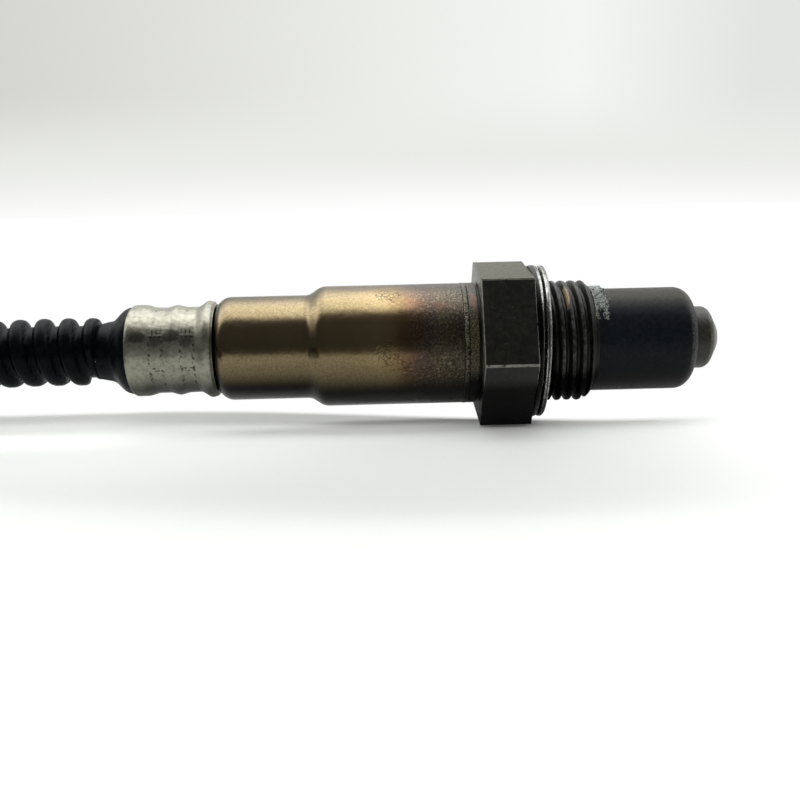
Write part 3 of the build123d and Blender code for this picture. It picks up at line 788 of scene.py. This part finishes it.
def sleeve_specks(s, colour, speck, near_weld):
    """Light and dark grains all over the tinted steel, and stronger ones by the weld."""
    colour = s.mix(s.fade(speck, 0.53, 0.64, 0.0, 0.35), colour, (0.27, 0.225, 0.15))
    colour = s.mix(s.fade(speck, 0.47, 0.36, 0.0, 0.45), colour, (0.06, 0.048, 0.03))
    light = s.product(s.fade(speck, 0.56, 0.66), near_weld, 0.7)
    colour = s.mix(light, colour, (0.150, 0.145, 0.115))
    dark = s.product(s.fade(speck, 0.48, 0.38), near_weld, 0.9)
    return s.mix(dark, colour, (0.010, 0.009, 0.007))


def sleeve_cracks(s, turn):
    """1 on the cracks in the oxide: wandering edges of cells, inside the cracked places."""
    cracked = 0.0
    for centre, reach in CRACKED:
        cracked = s.math("MAXIMUM", cracked, s.patch(turn, centre, reach))
    wander = s.add("ShaderNodeTexNoise", "Color", {"Vector": s.place, "Scale": 1.2, "Detail": 3.0})
    wandering = s.add("ShaderNodeVectorMath", 0, {0: s.place, 1: wander}, operation="ADD")
    return s.product(s.fade(s.cells(wandering, 1.3, "DISTANCE_TO_EDGE"), 0.06, 0.02), cracked)


def sleeve_steel():
    s = Surface("sleeve_steel", metallic=1.0)
    turn = s.turn()
    blotch = s.noise(s.place, 0.22, 4.0, 0.6)
    strayed = s.math("MULTIPLY", s.math("SUBTRACT", blotch, 0.5), HEAT_WANDER)
    tint = s.spread(s.math("ADD", s.x, strayed), HEAT_TINTS)
    grain = s.noise(s.place, 2.2, 5.0, 0.65)
    colour = s.mix(s.fade(grain, 0.4, 0.75, 0.0, 0.2), tint, (0.05, 0.04, 0.028))
    speck = s.noise(s.place, 3.2, 6.0, 0.75)
    near_weld = s.fade(s.x, *WELD_HEAT)
    colour = sleeve_specks(s, colour, speck, near_weld)
    for centre, reach, share, stain in SLEEVE_STAINS:
        colour = s.mix(s.math("MULTIPLY", s.patch(turn, centre, reach), share), colour, stain)
    crack = sleeve_cracks(s, turn)
    colour = s.mix(s.math("MULTIPLY", crack, 0.65), colour, (0.02, 0.016, 0.010))
    scratches = s.noise(s.scaled(s.place, (0.5, 3.0, 3.0)), 2.5, 2.0)
    colour = s.mix(s.product(s.fade(scratches, 0.70, 0.76), 0.5), colour, (0.36, 0.32, 0.24))
    shaded = s.fade(s.x, *COLLAR_SHADE)
    colour = s.mix(s.math("MULTIPLY", shaded, 0.9), colour, (0.022, 0.017, 0.010))
    # painted shade: the sleeve darkened towards its bottom
    colour = s.painted_underside_shade(colour, PAINTED_SHADE_BLACK)
    roughness = s.math("ADD", s.fade(grain, 0.3, 0.8, 0.17, 0.27), s.math("MULTIPLY", near_weld, 0.18))
    height = s.math("ADD", s.noise(s.place, 0.35, 2.0), s.math("MULTIPLY", speck, 0.15))
    height = s.math("SUBTRACT", height, s.math("MULTIPLY", crack, 0.35))
    return s.finish(colour, roughness, s.bump(height, 0.06))


COLLAR_DIRT = (0.012, 0.012, 0.010)
# painted shade on the collar's ridges, standing for dark reflections there
PAINTED_SHADE_RIDGES = (-58.8, -54.0)


def collar_painted_shade(s, colour, turn, grain):
    """Painted shade: a dark band along the collar's front that stands for a dark reflection, darkest on its
    ridges, and a dimmer band above it that tones the highlight down.
    """
    band = s.product(s.fade(turn, 20.0, 30.0), s.fade(turn, 50.0, 41.0))
    # painted reflection: the dark band where the collar's front reflects the dark room
    painted_dark_band = s.product(band, s.fade(grain, 0.3, 0.6, 0.6, 1.0))
    colour = s.mix(s.math("MULTIPLY", painted_dark_band, 0.5), colour, (0.06, 0.06, 0.048))
    for ridge in PAINTED_SHADE_RIDGES:
        ridge_shade = s.patch(turn, (ridge, 33.0), (1.5, 10.0), 0.2)
        colour = s.mix(s.math("MULTIPLY", ridge_shade, 0.65), colour, (0.025, 0.025, 0.02))
    band = s.product(s.fade(turn, 38.0, 50.0), s.fade(turn, 98.0, 78.0))
    # painted shade: the collar's upper highlight toned down
    dimmed_highlight = s.product(band, s.fade(grain, 0.30, 0.55, 0.75, 1.0))
    return s.mix(s.math("MULTIPLY", dimmed_highlight, 0.3), colour, (0.125, 0.122, 0.10))


def jaw_marks(s, colour, turn):
    """Dirt that the jaws left: along each groove's edges, in the gaps, in short strokes and in a stain."""
    dots = s.fade(s.cells(s.place, 2.2), 0.55, 0.35)
    below = s.fade(turn, 34.0, 22.0, 0.0, 0.75)
    for start, end in GROOVES:
        for edge in (start + 0.1, end - 0.1):
            colour = s.mix(s.product(s.near(s.x, edge, 0.28), dots, below), colour, COLLAR_DIRT)
    turns = s.math("DIVIDE", s.math("SUBTRACT", turn, JAW_PHASE), 360 / JAW_COUNT)
    part = s.math("FRACT", s.math("ADD", turns, 0.5))
    from_gap = s.math("ABSOLUTE", s.math("SUBTRACT", part, 0.5))
    for start, end in GROOVES:
        middle = (start + end) / 2
        inside = s.near(s.x, middle, (end - start) * 0.62)
        gap = s.product(s.near(from_gap, 0.04, 0.03), inside, dots)
        colour = s.mix(s.math("MULTIPLY", gap, 0.9), colour, COLLAR_DIRT)
        stripes = s.fade(s.math("PINGPONG", s.x, 0.3), 0.16, 0.24)
        strokes = s.product(stripes, s.near(turn, 39.5, 5.0), inside)
        colour = s.mix(s.math("MULTIPLY", strokes, 0.7), colour, (0.02, 0.02, 0.016))
        stained = s.product(inside, s.patch(turn, (middle, 27.0), (1.1, 11.0), 0.2))
        colour = s.mix(s.math("MULTIPLY", stained, 0.55), colour, (0.05, 0.05, 0.04))
    return colour


def collar_steel():
    s = Surface("collar_steel", metallic=1.0)
    turn = s.turn()
    grain = s.noise(s.place, 1.3, 5.0, 0.65)
    fine = s.noise(s.place, 6.0, 4.0, 0.7)
    pits = s.noise(s.place, 2.6, 5.0, 0.75)
    colour = s.mix(s.fade(grain, 0.35, 0.7), (0.29, 0.285, 0.23), (0.20, 0.20, 0.16))
    colour = s.mix(s.fade(pits, 0.57, 0.70, 0.0, 0.55), colour, (0.05, 0.05, 0.04))
    colour = collar_painted_shade(s, colour, turn, grain)
    colour = jaw_marks(s, colour, turn)
    # painted shade: the collar darkened towards its bottom
    colour = s.painted_underside_shade(colour, (0.03, 0.032, 0.026), -0.75, -0.15)
    height = s.math("ADD", s.noise(s.place, 0.9, 3.0), s.math("MULTIPLY", fine, 0.25))
    return s.finish(colour, s.fade(grain, 0.3, 0.8, 0.32, 0.44), s.bump(height, 0.09))


HEX_ONLY = (9.2, 9.4)  # radii past which only the hexagon and the gasket reach
WORN_STEEL = (0.20, 0.195, 0.17)
THREAD_WORN_FROM = (0.6, 1.0)
CRUST_FROM = (6.7, 7.2)  # the burnt deposit spreads back onto the thread's end


def hexagon_wear(s, colour, radius, grain, fine):
    """Dust on the hexagon's rear face, and bright steel where its edges have rubbed."""
    beyond = s.fade(radius, *HEX_ONLY)
    rear_face = s.product(beyond, s.fade(s.x, HEX_BACK + 0.10, HEX_BACK + 0.04), s.fade(fine, 0.40, 0.60))
    colour = s.mix(rear_face, colour, (0.10, 0.095, 0.06))
    corner = s.fade(radius, HEX_CORNER - 0.14, HEX_CORNER - 0.08)
    on_front = s.fade(s.x, HEX_FRONT, HEX_FRONT - 0.02)
    front_edge = s.product(beyond, s.near(s.x, HEX_FRONT - 0.03, 0.09), on_front)
    on_rear = s.fade(s.x, HEX_BACK, HEX_BACK + 0.02)
    rear_edge = s.product(beyond, s.near(s.x, HEX_BACK + 0.04, 0.10), on_rear)
    edges = s.math("MAXIMUM", corner, s.math("MAXIMUM", front_edge, rear_edge))
    return s.mix(s.product(edges, s.fade(grain, 0.33, 0.50)), colour, WORN_STEEL)


def shoulder_stains(s, colour, turn, radius, fine):
    """Rusty dust on the shoulder between the hexagon and the weld, with one redder patch."""
    ring = s.product(s.fade(s.x, UNDERCUT_BACK + 0.05, UNDERCUT_BACK - 0.05), s.fade(radius, 8.8, 8.9))
    colour = s.mix(s.product(ring, s.fade(fine, 0.40, 0.62)), colour, (0.10, 0.085, 0.045))
    redder = s.patch(turn, (-10.5, 58.0), (0.8, 14.0), 0.3)
    return s.mix(s.product(ring, redder), colour, (0.16, 0.10, 0.07))


def thread_wear(s, colour, turn, radius, in_thread):
    """Rubbed crests, and a patch of brassy grease in the thread's second valley."""
    rubbed = s.fade(s.noise(s.place, 1.5, 4.0, 0.7), 0.46, 0.60)
    crest = s.product(in_thread, s.fade(radius, 8.80, 8.92), rubbed)
    colour = s.mix(s.math("MULTIPLY", crest, 0.45), colour, (0.10, 0.105, 0.11))
    brass = s.product(s.fade(radius, 8.3, 8.5), s.patch(turn, (2.9, 62.0), (0.55, 20.0), 0.25))
    return s.mix(brass, colour, (0.40, 0.31, 0.20))


def housing_steel():
    s = Surface("housing_steel")
    turn = s.turn()
    radius = s.radius()
    grain = s.noise(s.place, 1.4, 6.0, 0.65)
    fine = s.noise(s.place, 5.0, 4.0, 0.7)
    in_thread = s.product(s.fade(s.x, *THREAD_WORN_FROM), s.fade(s.x, NOSE_START, NOSE_START - 0.3))
    colour = s.mix(s.fade(grain, 0.4, 0.7), (0.0030, 0.0034, 0.0024), (0.0110, 0.0102, 0.0056))
    dust = s.product(s.fade(s.cells(s.place, 1.1), 0.14, 0.07), s.fade(fine, 0.5, 0.6))
    colour = s.mix(s.math("MULTIPLY", dust, 0.6), colour, (0.12, 0.11, 0.09))
    colour = hexagon_wear(s, colour, radius, grain, fine)
    colour = shoulder_stains(s, colour, turn, radius, fine)
    colour = thread_wear(s, colour, turn, radius, in_thread)
    upper = s.product(s.fade(turn, 30.0, 62.0), s.fade(turn, 128.0, 112.0))
    crust = s.product(s.fade(s.x, *CRUST_FROM), upper, s.fade(fine, 0.40, 0.52))
    colour = s.mix(crust, colour, (0.20, 0.215, 0.19))
    # painted shade: the housing darkened towards its bottom
    colour = s.painted_underside_shade(colour, (0.002, 0.002, 0.002), -0.42, -0.10)
    # painted light: the hexagon's top flat lighter olive, as it catches the light
    top_face = s.fade(s.z, HEX_FLATS / 2 - 0.2, HEX_FLATS / 2 - 0.1)
    painted_top_light = s.product(top_face, s.fade(grain, 0.3, 0.6, 0.5, 0.9))
    colour = s.mix(painted_top_light, colour, (0.036, 0.037, 0.012))
    upward = s.math("DIVIDE", s.z, radius)
    shine = s.fade(upward, -0.42, -0.15, 0.05, 0.24)
    shine = s.math("SUBTRACT", shine, s.math("MULTIPLY", top_face, 0.05))
    shine = s.math("SUBTRACT", shine, s.math("MULTIPLY", in_thread, 0.04))
    s.feed(s.shader.inputs["Specular IOR Level"], shine)
    height = s.math("ADD", s.noise(s.place, 1.2, 4.0), s.math("MULTIPLY", fine, 0.3))
    return s.finish(colour, s.fade(grain, 0.3, 0.8, 0.36, 0.52), s.bump(height, 0.04))


DEPOSIT_DARK = (5.5, 3.2)  # heights between which the deposit turns darker towards the bottom


def deposit_crust():
    s = Surface("deposit_crust", specular=0.25)
    fine = s.noise(s.place, 2.4, 6.0, 0.75)
    colour = s.mix(s.fade(fine, 0.42, 0.58), (0.02, 0.023, 0.022), (0.30, 0.335, 0.30))
    lower = s.fade(s.z, *DEPOSIT_DARK)
    colour = s.mix(s.math("MULTIPLY", lower, 0.85), colour, (0.010, 0.011, 0.012))
    return s.finish(colour, 0.7, s.bump(fine, 0.12))


BACK_FOLD = (-1.05, -1.25)  # painted shade: the gasket's fold against the hexagon is darkened
FOLD_GROOVE = -0.43


def gasket_steel():
    s = Surface("gasket_steel", metallic=1.0)
    grain = s.noise(s.place, 1.2, 5.0, 0.6)
    colour = s.mix(s.fade(grain, 0.35, 0.7), (0.36, 0.36, 0.34), (0.13, 0.14, 0.13))
    # painted shade on the back fold, against the hexagon
    colour = s.mix(s.fade(s.x, *BACK_FOLD), colour, PAINTED_SHADE_BLACK)
    # painted shade in the groove between the gasket's folds
    groove = s.near(s.x, FOLD_GROOVE, 0.07)
    colour = s.mix(s.product(groove, s.fade(s.radius(), 11.0, 11.1)), colour, (0.02, 0.02, 0.02))
    # painted shade: the gasket darkened towards its bottom
    colour = s.painted_underside_shade(colour, (0.012, 0.014, 0.013), -0.85, -0.35)
    return s.finish(colour, s.fade(grain, 0.3, 0.8, 0.22, 0.4), s.bump(grain, 0.04))


def weld_steel():
    s = Surface("weld_steel", metallic=1.0)
    fine = s.noise(s.place, 4.5, 5.0, 0.7)
    colour = s.mix(s.fade(fine, 0.42, 0.62), (0.024, 0.022, 0.016), (0.180, 0.172, 0.130))
    for edge in WELD_EDGES:
        colour = s.mix(s.near(s.x, edge, 0.14), colour, (0.004, 0.004, 0.003))
    # painted shade: the weld darkened towards its bottom
    colour = s.painted_underside_shade(colour, PAINTED_SHADE_BLACK)
    return s.finish(colour, 0.42, s.bump(fine, 0.15))


TUBE_ROUNDING = 21.3  # where the outer tube's wall turns into its end
NUB_ROUNDING = 24.75  # and the inner tube's


def outer_tube_steel():
    s = Surface("outer_tube_steel", specular=0.075)
    turn = s.turn()
    grain = s.noise(s.place, 1.8, 6.0, 0.65)
    fine = s.noise(s.place, 6.0, 4.0, 0.7)
    colour = s.mix(s.fade(grain, 0.35, 0.75), (0.0036, 0.0052, 0.0080), (0.0080, 0.0100, 0.0130))
    # painted light: the top of the tube lighter olive, where it catches the light
    top = s.product(s.fade(turn, 48.0, 72.0), s.fade(turn, 150.0, 120.0))
    colour = s.mix(s.product(top, s.fade(grain, 0.3, 0.6, 0.4, 0.9)), colour, (0.040, 0.038, 0.026))
    rubbed = s.product(s.near(s.x, TUBE_ROUNDING, 0.55), s.fade(fine, 0.45, 0.62))
    colour = s.mix(s.math("MULTIPLY", rubbed, 0.7), colour, (0.12, 0.115, 0.09))
    # painted shade: the tube darkened towards its bottom
    colour = s.painted_underside_shade(colour, (0.002, 0.002, 0.002))
    return s.finish(colour, s.fade(grain, 0.3, 0.8, 0.34, 0.48), s.bump(grain, 0.03))


def inner_tube_steel():
    s = Surface("inner_tube_steel", specular=0.25)
    grain = s.noise(s.place, 1.8, 6.0, 0.65)
    fine = s.noise(s.place, 6.0, 4.0, 0.7)
    colour = s.mix(s.fade(grain, 0.3, 0.75), (0.018, 0.017, 0.012), (0.036, 0.034, 0.024))
    rubbed = s.product(s.near(s.x, NUB_ROUNDING, 0.3), s.fade(fine, 0.40, 0.60))
    colour = s.mix(s.math("MULTIPLY", rubbed, 0.6), colour, (0.16, 0.155, 0.12))
    return s.finish(colour, s.fade(grain, 0.3, 0.8, 0.34, 0.5), s.bump(grain, 0.05))


def hose_rubber():
    s = Surface("hose_rubber", specular=0.05)
    grain = s.noise(s.place, 0.9, 4.0, 0.6)
    colour = s.mix(s.fade(grain, 0.35, 0.7), (0.0008, 0.0014, 0.0024), (0.0022, 0.0032, 0.0044))
    sparse = s.fade(s.noise(s.place, 0.7, 2.0), 0.5, 0.6)
    specks = s.product(s.fade(s.cells(s.place, 0.55), 0.055, 0.03), sparse)
    colour = s.mix(specks, colour, (0.30, 0.32, 0.33))
    return s.finish(colour, s.fade(grain, 0.3, 0.8, 0.26, 0.38), s.bump(grain, 0.05))


def plain_surface(name, colour, darker, roughness, metallic=0.0, scale=1.5, depth=0.05):
    """A moulded or drawn surface: two near colours in fine grain, and slight bumps."""
    s = Surface(name, metallic=metallic)
    grain = s.noise(s.place, scale, 5.0, 0.6)
    mixed = s.mix(s.fade(grain, 0.3, 0.7), colour, darker)
    uneven = s.fade(grain, 0.3, 0.8, roughness - 0.06, roughness + 0.08)
    return s.finish(mixed, uneven, s.bump(grain, depth))


def dress(names, material):
    for name in names:
        piece = nodes[name] if name in nodes else bpy.data.objects[name]
        piece.data.materials.clear()
        piece.data.materials.append(material)


def dress_head():
    dress(["upper_sleeve"], sleeve_steel())
    dress(["sleeve_weld"], weld_steel())
    dress(["pressed_collar", "crimp_collar"], collar_steel())
    dress(["threaded_housing", "housing"], housing_steel())
    dress(["tube_deposit"], deposit_crust())
    dress(["folded_gasket", "seal_gasket"], gasket_steel())
    dress(["outer_protection_tube"], outer_tube_steel())
    dress(["inner_protection_tube"], inner_tube_steel())


def dress_hose_and_plug():
    dress(["ribbed_hose", "hose_run", "hose_coil", "flared_cuff", "hose_cuff"], hose_rubber())
    dress(["coil_tie"], plain_surface("tie_plastic", (0.02, 0.02, 0.02), (0.03, 0.03, 0.03), 0.4))
    plastic = plain_surface("plug_plastic", (0.018, 0.018, 0.019), (0.028, 0.028, 0.03), 0.45)
    dress(["plug_housing"], plastic)
    cap_plastic = plain_surface("plug_cap_plastic", (0.05, 0.05, 0.055), (0.07, 0.07, 0.075), 0.5)
    dress(["plug_rear_cap"], cap_plastic)
    dress(["plug_lock"], plain_surface("lock_plastic", (0.30, 0.04, 0.03), (0.24, 0.03, 0.025), 0.45))
    silicone = plain_surface("silicone", (0.45, 0.15, 0.05), (0.38, 0.12, 0.04), 0.55)
    dress(["plug_seal", "plug_wire_seal"], silicone)
    brass = plain_surface("terminal_brass", (0.66, 0.60, 0.48), (0.55, 0.50, 0.40), 0.3, 1.0)
    dress(["plug_terminals"], brass)


WIRE_COLOURS = [
    (0.02, 0.02, 0.02),
    (0.75, 0.74, 0.70),
    (0.28, 0.28, 0.29),
    (0.70, 0.52, 0.07),
    (0.75, 0.74, 0.70),
]


def dress_inside():
    ceramic = plain_surface("ceramic", (0.80, 0.78, 0.73), (0.72, 0.69, 0.63), 0.5)
    dress(["front_bush", "rear_bush", "contact_holder_upper", "contact_holder_lower"], ceramic)
    element = plain_surface("element_ceramic", (0.50, 0.49, 0.46), (0.42, 0.41, 0.38), 0.4)
    dress(["sensor_element"], element)
    talc = plain_surface("talc", (0.60, 0.58, 0.52), (0.48, 0.46, 0.41), 0.85, depth=0.2)
    dress(["talc_packing"], talc)
    spring = plain_surface("spring_steel", (0.56, 0.54, 0.50), (0.44, 0.42, 0.38), 0.3, 1.0)
    dress(["press_ring", "contact_spring_ring"], spring)
    contact = plain_surface("contact_nickel", (0.62, 0.58, 0.50), (0.52, 0.48, 0.40), 0.28, 1.0)
    dress([f"contact_{index}" for index in range(1, 6)], contact)
    dress(["grommet"], plain_surface("seal_rubber", (0.02, 0.02, 0.02), (0.03, 0.03, 0.03), 0.55))
    for index, colour in enumerate(WIRE_COLOURS, 1):
        darker = tuple(0.8 * part for part in colour)
        dress([f"wire_{index}"], plain_surface(f"wire_colour_{index}", colour, darker, 0.45))


dress_head()
dress_hose_and_plug()
dress_inside()


# ---------------- bench, lights and world
FLOOR_BACK = 240.0  # where the bench ends behind the sensor
FLOOR_FRONT = -1500.0
FLOOR_SIDE = 1500.0
FLOOR_COLOUR = (0.935, 0.95, 0.925)
FLOOR_WHITENING = 0.05  # share of plain white in what the camera sees of the bench
FLOOR_EDGE = (-62.0, 15.0, 4.8, -4.1)  # a line from x to x and y to y: behind it the camera sees plain white, painted over the sensor's shadow there
SOFTBOX_HEIGHT = 600.0
SOFTBOX_X = -20
SOFTBOX_FRONT = -78.0
SOFTBOX_BACK = 530.0
SOFTBOX_WIDTH = 300.0
SOFTBOX_RADIANCE = 1.34
FILL_WINDOWS = [  # degrees from overhead towards the back, reach, radiance
    (80.0, 6.6, 14.4),
    (60.0, 3.5, 14.2),
    (-2.5, 10.6, 2.5),
    (-28.2, 10.5, 2.9),
]
GLOSS_SKY = [  # degrees from overhead towards the back, radiance
    (-14.0, 0.13),
    (-7.0, 1.6),
    (0.0, 4.6),
    (16.0, 5.6),
    (28.0, 6.0),
    (40.0, 4.6),
    (48.0, 3.0),
    (58.0, 1.6),
    (68.0, 0.9),
    (78.0, 0.65),
    (90.0, 0.60),
]
GLOSS_PEAK = 6.0
GLOSS_FALL = 0.72  # of the bright strip, away from its middle
GLOSS_SIDE = 0.8  # radiance to the left and right of the bright strip
BACKDROP = [  # left to right, and its colour
    (-0.36, (0.66, 0.665, 0.62)),
    (0.00, (0.83, 0.84, 0.81)),
    (0.20, (0.90, 0.92, 0.90)),
    (0.36, (0.77, 0.78, 0.76)),
]
BACKDROP_FOOT = (0.83, 0.84, 0.81)


def floor_material():
    """A matt bench, seen only from above. Towards the camera a line behind the sensor parts it from plain
    white, painted light that hides the sensor's shadow behind the line.
    """
    s = Surface("bench_top", specular=0.0)
    camera_ray = s.add("ShaderNodeLightPath", "Is Camera Ray", {})
    material = s.finish(FLOOR_COLOUR, 0.9)
    white = s.add("ShaderNodeEmission", 0, {"Color": (1.0, 1.0, 1.0, 1.0), "Strength": 1.0})
    clear = s.add("ShaderNodeBsdfTransparent", 0, {})
    beyond = s.math("SUBTRACT", s.y, s.fade(s.x, *FLOOR_EDGE))
    share = s.fade(beyond, -1.2, 0.8, FLOOR_WHITENING, 1.0)
    factor = s.math("MULTIPLY", camera_ray, share)
    whitened = s.add("ShaderNodeMixShader", 0, {0: factor, 1: s.shader.outputs[0], 2: white})
    from_below = s.add("ShaderNodeNewGeometry", "Backfacing", {})
    one_sided = s.add("ShaderNodeMixShader", 0, {0: from_below, 1: whitened, 2: clear})
    output = next(node for node in s.tree.nodes if node.bl_idname == "ShaderNodeOutputMaterial")
    s.feed(output.inputs["Surface"], one_sided)
    return material


def make_floor():
    left, right = -FLOOR_SIDE, FLOOR_SIDE
    corners = [(left, FLOOR_FRONT), (right, FLOOR_FRONT), (right, FLOOR_BACK), (left, FLOOR_BACK)]
    mesh = bpy.data.meshes.new("bench_top")
    mesh.from_pydata([Vector((x, y, bench)) * MM for x, y in corners], [], [(0, 1, 2, 3)])
    floor = bpy.data.objects.new("bench_top", mesh)
    scene.collection.objects.link(floor)
    mesh.materials.append(floor_material())


def make_softbox():
    depth = SOFTBOX_BACK - SOFTBOX_FRONT
    light = bpy.data.lights.new("softbox", "AREA")
    light.shape = "RECTANGLE"
    light.size = SOFTBOX_WIDTH * MM
    light.size_y = depth * MM
    light.energy = SOFTBOX_RADIANCE * pi * light.size * light.size_y
    lamp = bpy.data.objects.new("softbox", light)
    lamp.visible_glossy = False  # gloss sees the room's bright strip instead
    lamp.location = Vector((SOFTBOX_X, (SOFTBOX_FRONT + SOFTBOX_BACK) / 2, SOFTBOX_HEIGHT)) * MM
    scene.collection.objects.link(lamp)


def fill_light(n, from_overhead):
    """What lights the scene besides the softbox: soft windows behind, above and before it."""
    fill = 0.0
    for centre, reach, radiance in FILL_WINDOWS:
        fill = n.math("ADD", fill, n.math("MULTIPLY", n.near(from_overhead, centre, reach), radiance))
    return fill


def glossy_room(n, from_overhead, x):
    """What gloss sees: a strip of light behind the sensor, weaker to the left and right."""
    shares = [(place, (radiance / GLOSS_PEAK,) * 3) for place, radiance in GLOSS_SKY]
    room = n.math("MULTIPLY", n.spread(from_overhead, shares), GLOSS_PEAK)
    aside = n.math("ABSOLUTE", x)
    room = n.math("MULTIPLY", room, n.fade(aside, 0.02, 0.20, 1.0, GLOSS_FALL))
    return n.math("MINIMUM", room, n.fade(aside, 0.90, 0.65, GLOSS_SIDE, GLOSS_PEAK))


def pale_backdrop(n, x, z):
    """What the camera sees behind the bench: white at the horizon, then pale grey-green."""
    foot = n.mix(n.fade(z, -0.14, -0.07), (1.0, 1.0, 1.0), BACKDROP_FOOT)
    return n.mix(n.fade(z, -0.085, 0.0), foot, n.spread(x, BACKDROP))


def make_world():
    world = bpy.data.worlds.new("room")
    world.use_nodes = True
    scene.world = world
    n = Nodes(world.node_tree)
    coordinates = n.tree.nodes.new("ShaderNodeTexCoord")
    x, y, z = n.separate(coordinates.outputs["Generated"])
    from_overhead = n.math("MULTIPLY", n.math("ARCTAN2", y, z), 180 / pi)
    rays = n.tree.nodes.new("ShaderNodeLightPath").outputs
    shiny = n.math("MAXIMUM", rays["Is Glossy Ray"], rays["Is Transmission Ray"])
    light = n.mix(shiny, fill_light(n, from_overhead), glossy_room(n, from_overhead, x))
    seen = n.mix(rays["Is Camera Ray"], light, pale_backdrop(n, x, z))
    background = n.add("ShaderNodeBackground", 0, {"Color": seen, "Strength": 1.0})
    output = n.tree.nodes.new("ShaderNodeOutputWorld")
    n.feed(output.inputs["Surface"], background)


make_floor()
make_softbox()
make_world()
scene.view_settings.view_transform = "Standard"
